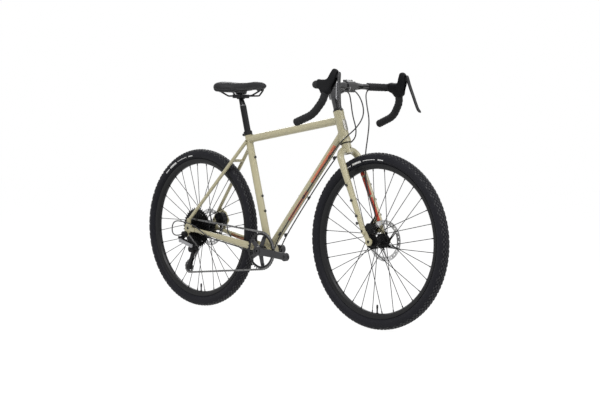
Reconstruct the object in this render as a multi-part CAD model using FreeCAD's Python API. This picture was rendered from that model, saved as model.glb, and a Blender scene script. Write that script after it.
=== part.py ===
import FreeCAD, Part
import math
import os

os.makedirs("parts", exist_ok=True)

# A gravel bicycle: X forward, Y to the rider's left, Z up, origin on the ground midway between the axles.
# Millimetres and degrees. The drive side is the right side, where Y is negative.

# Stance
wheelbase = 1020.0
tyre_radius = 340.0
bottom_bracket_drop = 71.5
chainstay_length = 430.0
head_angle = 71.5
seat_angle = 74.5
fork_rake = 45.0
running_gap = 0.05
seating_gap = 0.1
moving_gap = 0.35
join_tolerance = 0.01
hole_run_out = 12.0

# Head tube, headset and steerer, measured along the steering axis from the foot of the axle's perpendicular
head_tube_start = 409.5
head_tube_length = 130.0
head_tube_radius = 20.5
head_tube_lip_radius = 22.5
head_tube_lip = 12.0
head_tube_bore = 18.0
head_tube_upper_radius = 21.3
head_tube_lower_slope = 12.0
head_tube_upper_slope = 4.8
steerer_radius = 14.3
steerer_wall = 2.2
steerer_recess = 3.0
headset_insert = 10.0
headset_ring = 3.0
headset_cover = 11.0
headset_cover_radius = 16.8
headset_cover_step = 7.7
headset_step_radius = 18.8
spacer_radius = 17.0
spacer_heights = (20.0, 10.0, 12.0)
cap_height = 5.0
cap_chamfer = 1.5
cap_bolt_radius = 3.2
cap_bolt_length = 24.0
cap_bolt_head_radius = 5.2
cap_bolt_head = 3.0

# Frame tubes
top_tube_radius = 16.2
top_tube_rise = 456.0
top_tube_head_drop = 35.5
down_tube_radius = 16.0
down_tube_head_rise = 43.0
seat_tube_radius = 15.3
seat_tube_length = 505.0
tube_wall = 1.2
shell_radius = 20.0
shell_half_width = 34.0
shell_bore = 17.0
collar_height = 15.0
collar_radius = 18.2
collar_lip = 1.2
collar_slit = 2.0
collar_ear = 9.0
collar_ear_radius = 5.6
collar_bolt_radius = 2.5
collar_bolt_head_radius = 4.2
collar_bolt_head = 4.0

# Chainstays: places and half sizes as shares along the stay from the shell to the dropout
stay_length_shares = (0.04, 0.22, 0.40, 0.925)
chainstay_side = (21.0, 33.0, 43.0, 70.5)
chainstay_half_height = (14.0, 15.0, 14.0, 9.0)
chainstay_half_width = (8.0, 7.5, 7.8, 6.5)
stay_wall = 1.4

# Seatstays and their bridge
seatstay_radius = 7.8
seatstay_end_radius = 7.0
seatstay_top_side = 17.0
seatstay_top_rise = 464.0
seatstay_foot_side = 73.0
seatstay_foot_back = 3.0
seatstay_foot_rise = 36.0
seatstay_length_shares = (0.0, 0.09, 0.88, 1.0)
seatstay_lap = 9.0
bridge_radius = 6.5
bridge_share = 0.24

# Dropouts, hanger and brake tab
dropout_face = 71.0
dropout_thickness = 8.0
dropout_reach = 34.0
dropout_radius = 21.0
dropout_arm_radius = 9.5
hanger_back = 12.0
hanger_drop = 27.0
hanger_radius = 11.0
hanger_bolt_radius = 5.0
tab_thickness = 6.0
tab_radius = 10.0
tab_chainstay_share = 0.86
tab_seatstay_share = 0.13

# Wheels
tyre_width = 47.0
tyre_wall = 3.0
tyre_bead_gap = 0.5
tyre_shoulder_wall = 2.4
tyre_tread_inset = 1.8
tread_half_width = 17.0
tread_shoulder_drop = 6.5
bead_radius = 292.0
rim_outer_radius = 297.0
rim_inner_radius = 277.0
rim_half_width = 13.5
rim_channel_half_width = 11.5
rim_wall = 2.0
rim_side_wall = 2.6
rim_bed_wall = 2.4
rim_flank_wall = 1.8
rim_flank_step = 1.2
rim_flat_inset = 0.4
rim_well_depth = 2.5
rim_well_half_width = 6.0
rim_side_share = 0.65
rim_flat_half_width = 5.0
rim_flank_rise = 5.0
rim_flank_half_width = 11.0
spoke_count = 32
spoke_crossings = 3
spoke_radius = 1.0
spoke_hole_radius = 1.25
spoke_head_radius = 1.9
spoke_head_length = 1.2
spoke_offset = 2.0
spoke_elbow_gap = 1.9
nipple_radius = 1.9
nipple_length = 11.0
nipple_head_radius = 3.0
nipple_head_length = 2.4
nipple_hole_radius = 2.6
nipple_seat_gap = 0.6
nipple_crown_radius = 2.4
nipple_socket = 1.4
valve_angle = -90.0
valve_radius = 3.0
valve_tip_radius = 2.1
valve_hole_radius = 3.3
valve_reach = 46.0
valve_cap_radius = 3.9
valve_cap_length = 15.0
valve_nut_radius = 5.6
valve_base_radius = 5.6

# Hubs
flange_radius = 29.0
flange_thickness = 3.2
spoke_circle_radius = 25.5
hub_waist_radius = 13.5
hub_barrel_radius = 16.5
hub_right_radius = 16.2
hub_rotor_radius = 19.8
hub_left_radius = 15.6
hub_bearing_radius = 12.0
hub_bearing_width = 7.0
hub_bore = 9.2
axle_sleeve_radius = 8.5
axle_radius = 6.0
axle_cap_radius = 10.5
axle_cap_width = 5.0
rear_axle_cap_width = 3.0
axle_head_radius = 9.0
axle_head_length = 6.0
front_hub_half_width = 50.0
front_flange_left = 23.0
front_flange_right = -34.0
front_rotor_side = 39.5
rear_flange_left = 33.0
rear_flange_right = -19.0
rear_rotor_side = 52.0

# Brake rotors, calipers and pads
rotor_radius = 80.0
rotor_band = 18.0
rotor_half_thickness = 0.9
rotor_boss_radius = 26.0
rotor_bore = 17.5
rotor_arm_half_width = 4.0
rotor_arm_lean = 38.0
rotor_hole_radius = 3.0
rotor_hole_count = 24
rotor_bolts = 6
rotor_bolt_circle = 22.0
rotor_bolt_radius = 2.5
rotor_bolt_head_radius = 4.2
rotor_bolt_head = 2.2
caliper_half_length = 27.0
caliper_inner_radius = 60.0
caliper_outer_radius = 104.0
caliper_half_width = 13.0
caliper_bridge = 86.0
caliper_corner = 9.0
caliper_top_half_length = 15.0
caliper_bolt_place = 95.0
caliper_bolt_half_spacing = 16.0
caliper_shoulder = 90.0
caliper_bolt_radius = 3.0
caliper_bolt_head_radius = 5.0
caliper_bolt_head = 4.0
caliper_cup_radius = 10.5
caliper_cup = 2.5
caliper_angle_rear = 33.0
caliper_angle_front = 144.0
caliper_shift_rear = -5.0
caliper_shift_front = 12.0
pad_half_length = 12.0
pad_inner_radius = 62.5
pad_outer_radius = 79.0
pad_thickness = 3.2
pad_gap = 0.35
pad_back_gap = 0.25
pad_corner = 3.0
hose_fitting_radius = 4.2
hose_fitting_length = 12.0
hose_fitting_place = 95.0
hose_fitting_root = 5.4
hose_fitting_depth = 7.2

# Drivetrain
chain_pitch = 12.7
roller_radius = 3.85
roller_gap = 0.12
tooth_height = 3.2
tooth_tip = 1.3
gullet_half_angle = 58.0
cog_teeth = (42, 36, 32, 28, 25, 22, 19, 17, 15, 13, 11)
chain_cog = 6
cog_spacing = 3.74
cog_thickness = 1.6
first_cog_side = -27.0
cog_bore = 17.0
cog_window_teeth = 25
cog_window_count = 6
cog_window_share = 0.30
cog_window_turn = 9.0
spacer_ring_share = 0.97
freehub_start = -23.5
freehub_end = -65.2
freehub_shoulder_radius = 19.5
spacer_ring_radius = 20.5
lockring_radius = 18.5
lockring_thickness = 2.4
chainring_teeth = 38
chainring_thickness = 1.8
chainring_inner_radius = 64.0
bolt_circle_radius = 57.5
ring_tab_radius = 8.5
ring_bolt_radius = 4.0
ring_bolt_head_radius = 5.6
ring_bolt_head = 1.6
spider_arms = 5
spider_thickness = 4.6
spider_root_half_width = 11.0
spider_boss_radius = 23.0
crank_length = 172.5
crank_rest_angle = -4.3
crank_root_side = 65.0
crank_tip_side = 79.0
crank_boss_radius = 19.0
crank_boss_half_width = 11.0
crank_tip_radius = 17.0
crank_tip_half_width = 7.0
crank_station_shares = (0.0, 0.30, 0.70, 1.0)
crank_half_heights = (17.0, 15.5, 14.5, 14.5)
crank_half_thickness = (9.0, 7.5, 6.5, 6.5)
crank_corner = 4.5
pedal_thread_radius = 7.1
spindle_radius = 12.0
spindle_bore = 9.0
crank_cap_radius = 12.5
crank_cap_depth = 5.0
crank_key_depth = 3.0
crank_recess = 2.0
crank_key_reach = 10.0
crank_key_radius = 5.0
cup_radius = 20.6
cup_width = 10.5
cup_sleeve = 12.0
cup_notches = 16
cup_notch_radius = 1.5
cup_notch_start = 4.2

# Chain plates
plate_end_radius = 4.15
plate_waist = 3.1
plate_shoulder_angle = 63.0
inner_plate_gap = 1.1
plate_thickness = 0.72
plate_gap = 0.08
pin_radius = 1.7
pin_gap = 0.12

# Derailleur: two links on upright pins, a knuckle, and a sprung cage that carries two pulleys
pulley_teeth = 12
pulley_thickness = 1.8
pulley_hub_radius = 6.5
pulley_hub_half_width = 3.4
pulley_windows = 5
pulley_window_radius = 2.9
pulley_axle_radius = 2.5
guide_forward = 10.0
guide_drop = 90.0
cage_length = 84.0
cage_angle_guess = 246.0
cage_plate_gap = 4.0
cage_plate_thickness = 1.6
cage_end_radius = 13.0
cage_waist_radius = 8.0
cage_bolt_head_radius = 4.5
cage_bolt_head = 1.4
cage_pivot_radius = 5.5
cage_pivot_floor = 8.0
knuckle_radius = 14.0
knuckle_length = 18.0
link_run = 53.0
link_inset = 17.0
link_spread = 15.0
link_spread_run = 2.0
link_eye_radius = 6.0
link_eye_height = 15.0
link_half_thickness = 3.4
link_pin_radius = 3.0
link_fall = 22.0
lower_pin_forward = 22.0
lower_pin_side = 37.0
lug_height = 9.0
lug_margin = 9.0
pin_cap = 1.6
pin_cap_radius = 4.2
mount_length = 15.0
mount_radius = 13.5
mount_bolt_head_radius = 6.5
mount_bolt_head = 3.0

# Fork, measured along the steering axis
leg_top_along = 338.0
leg_top_side = 52.0
leg_foot_along = 40.0
leg_foot_side = 57.0
leg_top_forward = 3.0
leg_foot_forward = 35.0
leg_top_radius = 14.0
leg_foot_radius = 9.5
leg_wall = 2.5
leg_plug = 66.0
crown_bend = 42.0
crown_bend_radius = 39.9
crown_radius = 19.0
crown_top = 405.5
crown_foot = 366.0
fork_dropout_thickness = 7.0
fork_dropout_radius = 15.0
fork_dropout_arm = 9.0
fork_bolt_alongs = (235.0, 172.0, 108.0)
fork_eyelet_along = 46.0
crown_hole_radius = 3.2
crown_hole_along = 386.0

# Bolts on the frame
bolt_head_radius = 4.4
bolt_head = 2.8
bolt_shank_radius = 2.4
bolt_shank = 9.0
bolt_hole_depth = 10.0
bolt_rim_share = 0.6
bolt_face_share = 0.7
bolt_key_share = 0.6
bolt_key_floor_share = 0.4
down_tube_bolts = (287.0, 223.0)
seat_tube_bolts = (226.0, 162.0)
seat_tube_upper_bolt = 392.0

# Cockpit
stem_along = 615.0
stem_length = 84.0
stem_clamp_height = 39.0
stem_clamp_radius = 18.5
stem_body_radius = 15.0
stem_bar_radius = 20.5
stem_bar_half_width = 23.0
stem_split = 2.0
stem_slit = 2.0
stem_ear = 8.0
stem_ear_half_height = 18.7
stem_pinch_rise = 10.5
stem_pinch_back = 2.4
stem_pinch_shank = 14.4
stem_lobe_radius = 5.2
stem_passage = 15.4
stem_bolt_radius = 2.4
stem_bolt_head_radius = 4.0
stem_bolt_head = 4.0
stem_bolt_length = 14.0
stem_bolt_side = 16.0
bar_clamp_radius = 15.9
bar_radius = 11.9
bar_wall = 2.0
bar_bulge_half = 38.0
bar_taper = 32.0
bar_half_width = 204.0
bar_reach = 73.0
bar_ramp_drop = 3.0
bar_front_drop = 57.0
bar_turn_back = 43.0
bar_turn_drop = 114.0
bar_end_back = 52.0
bar_end_drop = 143.5
bar_bends = (34.0, 30.0, 70.0, 90.0)
bar_flare = 13.2
tape_start = 108.0
tape_thickness = 3.4
tape_join = 0.5
plug_radius = 14.0
plug_thickness = 5.0
plug_rim = 3.0
plug_face_radius = 11.2
plug_depth = 16.0

# Lever hoods and levers, drawn in the flared plane from the crest of the bar
hood_height = 100.0
hood_outline_shares = ((0.36, 0.15), (0.60, 0.15), (0.80, 0.18), (0.87, 0.42), (0.93, 0.57), (1.08, 0.58),
                       (1.20, 0.48), (1.20, 0.30), (1.14, 0.10), (1.02, -0.12), (0.92, -0.34), (0.58, -0.34),
                       (0.55, -0.16), (0.36, -0.14))
hood_corner = 4.0
hood_half_width = 14.5
hood_edge = 6.0
hood_slot_back = 9.1
hood_slot_drop = 23.8
lever_pivot_forward = 113.0
lever_pivot_rise = 30.0
lever_pin_radius = 2.5
lever_pin_inset = 3.6
lever_lug_radius = 7.0
lever_lug_reach = 15.4
lever_lug_half_width = 4.5
lever_slot_gap = 0.6
lever_length = 160.0
lever_front_shares = ((0.820, 0.300), (0.845, 0.240), (0.868, 0.075), (0.905, -0.075), (0.958, -0.240),
                      (1.010, -0.410), (1.060, -0.540), (1.125, -0.605))
lever_back_shares = ((1.105, -0.645), (1.020, -0.590), (0.960, -0.430), (0.905, -0.255), (0.852, -0.085),
                     (0.812, 0.070), (0.786, 0.160), (0.775, 0.260))
lever_half_width = 7.5
lever_edge = 2.0
paddle_length = 90.0
paddle_outline_shares = ((1.395, 0.02), (1.450, 0.02), (1.500, -0.20), (1.560, -0.46), (1.600, -0.66),
                         (1.570, -0.70), (1.490, -0.60), (1.440, -0.30))
paddle_half_width = 5.0
paddle_edge = 1.5
paddle_pin_radius = 2.2
paddle_pin_forward = 13.8
paddle_eye_drop = 27.0
paddle_eye_height = 9.0

# Saddle, seatpost and clamp
post_radius = 13.6
post_bore = 11.0
post_insert = 105.0
post_rise = 640.0
post_setback = 14.0
cradle_length = 46.0
neck_drop = 25.0
neck_root_radius = 13.2
post_floor = 50.0
neck_radius = 9.5
cradle_half_width = 23.0
cradle_height = 9.0
cradle_gap = 0.6
clamp_bolt_radius = 3.0
clamp_bolt_head_radius = 5.0
clamp_bolt_head = 4.0
clamp_head_room = 12.0
clamp_bolt_length = 15.3
upper_clamp_height = 6.3
clamp_bolt_spacing_half = 17.5
rail_radius = 3.5
rail_spacing_half = 21.5
rail_height = 905.0
rail_front = -142.0
rail_rear = -352.0
rail_rise_front = 19.0
rail_rise_rear = 19.0
rail_nose_half = 9.0
rail_tail_half = 34.0
rail_bend_run = 34.0
rail_bend = 18.0
saddle_nose = -109.0
saddle_length = 276.0
saddle_width = 143.0
saddle_base_height = 929.0
saddle_thickness = 30.0
saddle_shell_thickness = 8.0
saddle_shell_inset = 4.0
saddle_shell_end_inset = 8.0
saddle_shell_share = 0.9
saddle_length_shares = (0.0, 0.03, 0.12, 0.30, 0.48, 0.64, 0.80, 0.92, 0.985, 1.0)
saddle_width_shares = (0.05, 0.16, 0.25, 0.30, 0.42, 0.68, 0.96, 0.96, 0.66, 0.40)
saddle_crown_shares = (0.28, 0.50, 0.62, 0.66, 0.68, 0.78, 0.98, 1.04, 0.80, 0.50)
saddle_section_shares = ((0.0, 1.0), (0.5, 0.96), (0.84, 0.78), (1.0, 0.42), (0.93, 0.08), (0.55, 0.0))

# Hoses and housing
hose_radius = 2.5
hose_gap = 0.3
hose_bend = 45.0
guide_radius = 4.4
guide_length = 14.0
guide_gap = 0.45
guide_stalk_radius = 2.6
tube_guides = (522.0, 308.0, 104.0)
tube_run_ends = (560.0, 95.0)
shift_run_reach = 19.2
shift_run_angles = (52.0, 36.0)
rear_run_reach = 23.8
rear_run_angles = (120.0, 120.0)
shell_pass_lead = 36.0
shell_pass_side = 18.6
bend_room_share = 0.48
hose_low_shares = (0.6, -0.8)
bar_hose_start = 106.5
shift_end_gap = 1.2
# Loops in front of the head tube, each point from the middle of the bar clamp
shift_loop = ((24.0, -66.0, -2.0), (66.0, -22.0, -22.0), (98.0, -14.0, -98.0), (70.0, -18.0, -155.0),
              (4.0, -35.0, -208.0))
rear_loop = ((20.0, -66.0, -15.0), (20.0, -22.0, -24.0), (6.0, 4.0, -55.0), (18.0, 2.0, -115.0),
             (36.0, 6.0, -168.0), (2.0, 35.0, -210.0))
front_loop = ((34.0, 58.0, -20.0), (62.0, 34.0, -72.0), (80.0, 32.0, -134.0), (70.0, 32.5, -205.0),
              (58.0, 33.0, -266.0), (59.0, 36.5, -384.0), (110.0, 39.5, -497.0))
# Runs along the chainstays, each point from the rear axle
shift_stay = ((335.0, -33.0, -75.0), (258.0, -43.0, -60.8), (163.0, -54.5, -43.2), (132.0, -66.0, -36.0),
              (104.0, -74.5, -20.0), (58.0, -85.0, 10.0), (10.0, -95.0, 27.0), (-84.0, -95.0, 32.0),
              (-84.0, -95.0, -46.0))
rear_stay = ((335.0, 33.0, -75.0), (258.0, 43.0, -60.8), (172.0, 51.5, -46.6), (140.0, 46.0, -40.0),
             (117.0, 45.0, -10.0))

Vector = FreeCAD.Vector
origin = Vector(0, 0, 0)
upward = Vector(0, 0, 1)
leftward = Vector(0, 1, 0)
full_turn = 360.0
half_turn = 180.0


# Helpers

def unit(vector):
    return Vector(vector).normalize()


def rod(start, end, radius):
    return Part.makeCylinder(radius, (end - start).Length, start, end - start)


def taper(start, end, start_radius, end_radius):
    return Part.makeCone(start_radius, end_radius, (end - start).Length, start, end - start)


def pipe(start, end, outer, inner):
    return rod(start, end, outer).cut(rod(start, end, inner))


def placed(shape, place, direction):
    turned = shape.copy()
    turned.Placement = FreeCAD.Placement(place, FreeCAD.Rotation(upward, direction)).multiply(shape.Placement)
    return turned


def spun(profile, place, direction):
    """Turns a closed profile of (distance along, radius) about the line through place."""
    corners = [Vector(radius, 0, along) for along, radius in profile]
    face = Part.Face(Part.makePolygon(corners + corners[:1]))
    return placed(face.revolve(origin, upward, full_turn), place, direction)


def slab(outline, near, far):
    """Extrudes an outline of (x, z) points between two places along Y."""
    corners = [Vector(x, near, z) for x, z in outline]
    face = Part.Face(Part.makePolygon(corners + corners[:1]))
    return face.extrude(Vector(0, far - near, 0))


def bent(points, radii, closed=False):
    """Joins points by straight runs and tangent arcs, one radius to each corner."""
    count = len(points)
    corners = []
    for index, corner in enumerate(points):
        if not closed and index in (0, count - 1):
            corners.append((corner, None, corner))
            continue
        before = unit(points[index - 1] - corner)
        after = unit(points[(index + 1) % count] - corner)
        half = before.getAngle(after) / 2
        reach = radii[index] / math.tan(half)
        middle = corner + unit(before + after) * (radii[index] / math.sin(half) - radii[index])
        corners.append((corner + before * reach, middle, corner + after * reach))
    edges = []
    for index, (first, middle, last) in enumerate(corners):
        if middle is not None:
            edges.append(Part.Arc(first, middle, last).toShape())
        if closed or index < count - 1:
            following = corners[(index + 1) % count][0]
            if (following - last).Length > join_tolerance:
                edges.append(Part.LineSegment(last, following).toShape())
    return Part.Wire(edges)


def rounded_slab(outline, corner_radius, near, far):
    corners = [Vector(x, near, z) for x, z in outline]
    wire = bent(corners, [corner_radius] * len(corners), closed=True)
    return Part.Face(wire).extrude(Vector(0, far - near, 0))


def swept(path, radius):
    first = path.OrderedEdges[0]
    start = path.OrderedVertexes[0].Point
    forward = first.tangentAt(first.FirstParameter)
    if (first.valueAt(first.FirstParameter) - start).Length > seating_gap:
        forward = first.tangentAt(first.LastParameter) * -1
    disc = Part.Face(Part.Wire(Part.makeCircle(radius, start, forward)))
    return path.makePipe(disc)


def fused(shapes):
    return shapes[0].multiFuse(shapes[1:])


def mirrored(shape):
    return shape.mirror(origin, leftward)


def turned_about(shape, centre, axis, angle):
    copy = shape.copy()
    copy.rotate(centre, axis, angle)
    return copy


def ring_of(shape, centre, count, start=0.0):
    return [turned_about(shape, centre, leftward, start + full_turn * step / count) for step in range(count)]


def bolt(place, outward, head_radius, head, shank_radius, shank):
    """A round-headed bolt whose head sits on place and whose shank runs back into the hole."""
    key_radius = shank_radius * bolt_key_share
    key_floor = head * bolt_key_floor_share
    profile = ((-shank, 0), (-shank, shank_radius), (0, shank_radius), (0, head_radius),
               (head * bolt_rim_share, head_radius), (head, head_radius * bolt_face_share),
               (head, key_radius),
               (key_floor, key_radius), (key_floor, 0))
    return spun(profile, place, outward)


def hole(place, outward, radius, depth):
    return rod(place + unit(outward) * hole_run_out, place - unit(outward) * depth, radius)


def save(name, *shapes):
    solids = [solid for shape in shapes for solid in shape.Solids]
    Part.Compound(solids).exportStep("parts/" + name + ".step")


# Main points and lines
axle_height = tyre_radius
rear_axle = Vector(-wheelbase / 2, 0, axle_height)
front_axle = Vector(wheelbase / 2, 0, axle_height)
shell_centre = rear_axle + Vector(math.sqrt(chainstay_length ** 2 - bottom_bracket_drop ** 2), 0,
                                  -bottom_bracket_drop)
steer_up = Vector(-math.cos(math.radians(head_angle)), 0, math.sin(math.radians(head_angle)))
steer_forward = Vector(steer_up.z, 0, -steer_up.x)
steer_foot = front_axle - steer_forward * fork_rake
seat_up = Vector(-math.cos(math.radians(seat_angle)), 0, math.sin(math.radians(seat_angle)))
seat_front = Vector(seat_up.z, 0, -seat_up.x)


def on_steerer(along, forward=0, side=0):
    return steer_foot + steer_up * along + steer_forward * forward + leftward * side


def on_seat_tube(along, front=0, side=0):
    return shell_centre + seat_up * along + seat_front * front + leftward * side


# Head tube with its two lips
head_tube_end = head_tube_start + head_tube_length
head_outline = ((0, head_tube_lip_radius), (head_tube_lip, head_tube_lip_radius),
                (head_tube_lip + head_tube_lower_slope, head_tube_radius),
                (head_tube_length - head_tube_lip - head_tube_upper_slope, head_tube_radius),
                (head_tube_length - head_tube_lip, head_tube_upper_radius),
                (head_tube_length, head_tube_upper_radius))
head_solid = spun(((0, 0),) + head_outline + ((head_tube_length, 0),), on_steerer(head_tube_start), steer_up)
head_bore = rod(on_steerer(head_tube_start), on_steerer(head_tube_end), head_tube_bore)
save("head_tube", head_solid.cut(head_bore))

# Headset: a cup pressed into each end; the steerer turns in both
bearing_bore = steerer_radius + running_gap
lower_cup = spun(((headset_insert, bearing_bore), (headset_insert, head_tube_bore), (0, head_tube_bore),
                  (0, head_tube_lip_radius), (-headset_ring, head_tube_lip_radius),
                  (-headset_ring, bearing_bore)),
                 on_steerer(head_tube_start), steer_up)
upper_cup = spun(((-headset_insert, bearing_bore), (-headset_insert, head_tube_bore), (0, head_tube_bore),
                  (0, head_tube_upper_radius), (headset_ring, head_tube_upper_radius),
                  (headset_cover_step, headset_step_radius), (headset_cover, headset_cover_radius),
                  (headset_cover, bearing_bore)),
                 on_steerer(head_tube_end), steer_up)
save("headset_cups", lower_cup, upper_cup)

# Bottom bracket shell and the pressed-in cups that carry the spindle
shell_left = shell_centre + leftward * shell_half_width
shell_right = shell_centre - leftward * shell_half_width
shell_solid = rod(shell_right, shell_left, shell_radius)
save("bb_shell", shell_solid.cut(rod(shell_right, shell_left, shell_bore)))
cup_profile = ((-cup_sleeve, spindle_radius + running_gap), (-cup_sleeve, shell_bore), (0, shell_bore),
               (0, cup_radius), (cup_width, cup_radius), (cup_width, spindle_radius + running_gap))
cup = spun(cup_profile, shell_left, leftward)
notch_centre = shell_centre + Vector(cup_radius, shell_half_width, 0)
notch = rod(notch_centre + leftward * cup_notch_start, notch_centre
            + leftward * (cup_width + cup_notch_radius),
            cup_notch_radius)
cup = cup.cut(Part.Compound(ring_of(notch, shell_centre, cup_notches)))
save("bottom_bracket_cups", cup, mirrored(cup))

# Seat tube, top tube and down tube, each coped to the tubes it meets
seat_top = on_seat_tube(seat_tube_length)
seat_solid = rod(shell_centre, seat_top, seat_tube_radius)
seat_bore_radius = post_radius + running_gap
top_tube_rear = on_seat_tube(top_tube_rise / seat_up.z)
top_tube_front = on_steerer(head_tube_end - top_tube_head_drop)
down_tube_end = on_steerer(head_tube_start + down_tube_head_rise)
down_along = unit(down_tube_end - shell_centre)
down_normal = Vector(-down_along.z, 0, down_along.x)


def on_down_tube(along, normal=0, side=0):
    return shell_centre + down_along * along + down_normal * normal + leftward * side


def boss_bolt(place, outward):
    return bolt(place, outward, bolt_head_radius, bolt_head, bolt_shank_radius, bolt_shank)


def boss_holes(bolts):
    return Part.Compound([hole(place, outward, bolt_shank_radius + running_gap, bolt_hole_depth)
                          for place, outward in bolts])


down_bolts = [(on_down_tube(along, down_tube_radius), down_normal) for along in down_tube_bolts]
seat_bolts = [(on_seat_tube(along, seat_tube_radius), seat_front) for along in seat_tube_bolts]
seat_bolts.append((on_seat_tube(seat_tube_upper_bolt, seat_tube_radius), seat_front))
seat_tube = pipe(shell_centre, seat_top, seat_tube_radius, seat_bore_radius).cut(shell_solid)
top_tube = pipe(top_tube_rear, top_tube_front, top_tube_radius, top_tube_radius - tube_wall)
down_tube = pipe(shell_centre, down_tube_end, down_tube_radius, down_tube_radius - tube_wall)


def largest(shape):
    return max(shape.Solids, key=lambda solid: solid.Volume)


save("seat_tube", largest(seat_tube.cut(boss_holes(seat_bolts))))
save("top_tube", largest(top_tube.cut(seat_solid).cut(head_solid)))
headset_room = rod(on_steerer(head_tube_start - head_tube_lip), on_steerer(head_tube_start),
                   head_tube_lip_radius + moving_gap)
for cutter in (shell_solid, seat_solid, head_solid, headset_room, boss_holes(down_bolts)):
    down_tube = down_tube.cut(cutter)
save("down_tube", largest(down_tube))

# Dropouts: a plate at each end of the rear axle, with the hanger on the right
dropout_mid = dropout_face + dropout_thickness / 2
chainstay_line = shell_centre - rear_axle
chainstay_ahead = unit(chainstay_line)
seatstay_top = on_seat_tube(seatstay_top_rise, 0, seatstay_top_side)
seatstay_foot = rear_axle + Vector(seatstay_foot_back, seatstay_foot_side, seatstay_foot_rise)
seatstay_ahead = unit(seatstay_top - seatstay_foot)
hanger = rear_axle + Vector(-hanger_back, 0, -hanger_drop)


def plate_disc(centre, radius, near, far):
    return rod(Vector(centre.x, near, centre.z), Vector(centre.x, far, centre.z), radius)


def plate_arm(first, last, half_width, near, far):
    along = unit(Vector(last.x - first.x, 0, last.z - first.z))
    across = Vector(-along.z, 0, along.x) * half_width
    corners = [first + across, last + across, last - across, first - across]
    return slab([(corner.x, corner.z) for corner in corners], near, far)


def dropout(near, far, with_hanger):
    reach_along_chainstay = rear_axle + chainstay_ahead * dropout_reach
    to_seatstay = unit(Vector(seatstay_foot.x - rear_axle.x, 0, seatstay_foot.z - rear_axle.z))
    reach_along_seatstay = rear_axle + to_seatstay * dropout_reach
    pieces = [plate_disc(rear_axle, dropout_radius, near, far)]
    for reach in (reach_along_chainstay, reach_along_seatstay):
        pieces.append(plate_arm(rear_axle, reach, dropout_arm_radius, near, far))
        pieces.append(plate_disc(reach, dropout_arm_radius, near, far))
    if with_hanger:
        pieces.append(plate_arm(rear_axle, hanger, hanger_radius, near, far))
        pieces.append(plate_disc(hanger, hanger_radius, near, far))
    body = fused(pieces).cut(plate_disc(rear_axle, axle_radius + running_gap, near, far))
    if with_hanger:
        body = body.cut(plate_disc(hanger, hanger_bolt_radius + running_gap, near, far))
    return body


dropout_right = dropout(-dropout_face - dropout_thickness, -dropout_face, True)
dropout_left = dropout(dropout_face, dropout_face + dropout_thickness, False)


# Chainstays: tall ovals that taper to the dropouts and bow out past the tyre
def chainstay(shrink):
    sections = []
    for share, side, high, wide in zip(stay_length_shares, chainstay_side, chainstay_half_height,
                                       chainstay_half_width):
        middle = shell_centre - chainstay_line * share + leftward * side
        outer = Part.Ellipse(middle + upward * (high - shrink), middle + leftward * (wide - shrink), middle)
        sections.append(Part.Wire(outer.toShape()))
    return Part.makeLoft(sections, True, False)


chainstay_tube = chainstay(0).cut(chainstay(stay_wall))
chainstay_left = largest(chainstay_tube.cut(shell_solid).cut(seat_solid).cut(dropout_left))
chainstay_right = largest(mirrored(chainstay_tube).cut(shell_solid).cut(seat_solid).cut(dropout_right))
save("chainstays", chainstay_left, chainstay_right)

# Seatstays and bridge; each stay is a row of tapered runs, and its first run, which laps the plate, is solid
def seatstay_runs(shares, wall):
    along = seatstay_top - seatstay_foot
    growth = seatstay_radius - seatstay_end_radius
    runs = []
    for first, last in zip(shares, shares[1:]):
        first_radius = seatstay_end_radius + growth * first - wall
        last_radius = seatstay_end_radius + growth * last - wall
        low_end = seatstay_foot + along * first
        high_end = seatstay_foot + along * last
        runs.append(taper(low_end, high_end, first_radius, last_radius))
    return fused(runs)


seatstay_solid = seatstay_runs(seatstay_length_shares, 0)
seatstay_bore = seatstay_runs(seatstay_length_shares[1:], stay_wall)
seatstay_tube = seatstay_solid.cut(seatstay_bore)
lap_depth = seatstay_ahead * seatstay_lap
plate_lap = plate_arm(seatstay_foot - lap_depth, seatstay_foot + lap_depth, seatstay_radius * 2, dropout_face,
                      dropout_face + seatstay_radius * 4)
seatstay_left = largest(seatstay_tube.cut(seat_solid).cut(plate_lap))
seatstay_right = mirrored(seatstay_left)
bridge_left = seatstay_top + (seatstay_foot - seatstay_top) * bridge_share
bridge_right = Vector(bridge_left.x, -bridge_left.y, bridge_left.z)
bridge = pipe(bridge_right, bridge_left, bridge_radius, bridge_radius - stay_wall)
bridge = largest(bridge.cut(seatstay_solid).cut(mirrored(seatstay_solid)))
save("seatstays", seatstay_left, seatstay_right, bridge)

# Seat collar with its slit and pinch bolt at the back
collar_start = on_seat_tube(seat_tube_length - collar_height)
collar_end = on_seat_tube(seat_tube_length + collar_lip)
collar = pipe(collar_start, collar_end, collar_radius, seat_tube_radius + running_gap / 2)
ear_middle = on_seat_tube(seat_tube_length - collar_height / 2, -collar_radius - collar_ear / 4)
ear = rod(ear_middle - leftward * collar_ear, ear_middle + leftward * collar_ear, collar_ear_radius)
collar = fused([collar, ear]).cut(rod(collar_start, collar_end, seat_tube_radius + running_gap / 2))
slit_box = Part.makeBox(collar_radius * 2, collar_slit, collar_height * 2)
slit_box.translate(Vector(-collar_radius * 2, -collar_slit / 2, -collar_height))
collar = collar.cut(placed(slit_box, on_seat_tube(seat_tube_length), seat_up))
collar_hole = rod(ear_middle - leftward * collar_radius, ear_middle + leftward * collar_radius,
                  collar_bolt_radius + running_gap)
collar_bolt = bolt(ear_middle + leftward * collar_ear, leftward, collar_bolt_head_radius, collar_bolt_head,
                   collar_bolt_radius, collar_ear * 2)
save("seat_collar", collar.cut(collar_hole), collar_bolt)


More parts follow.
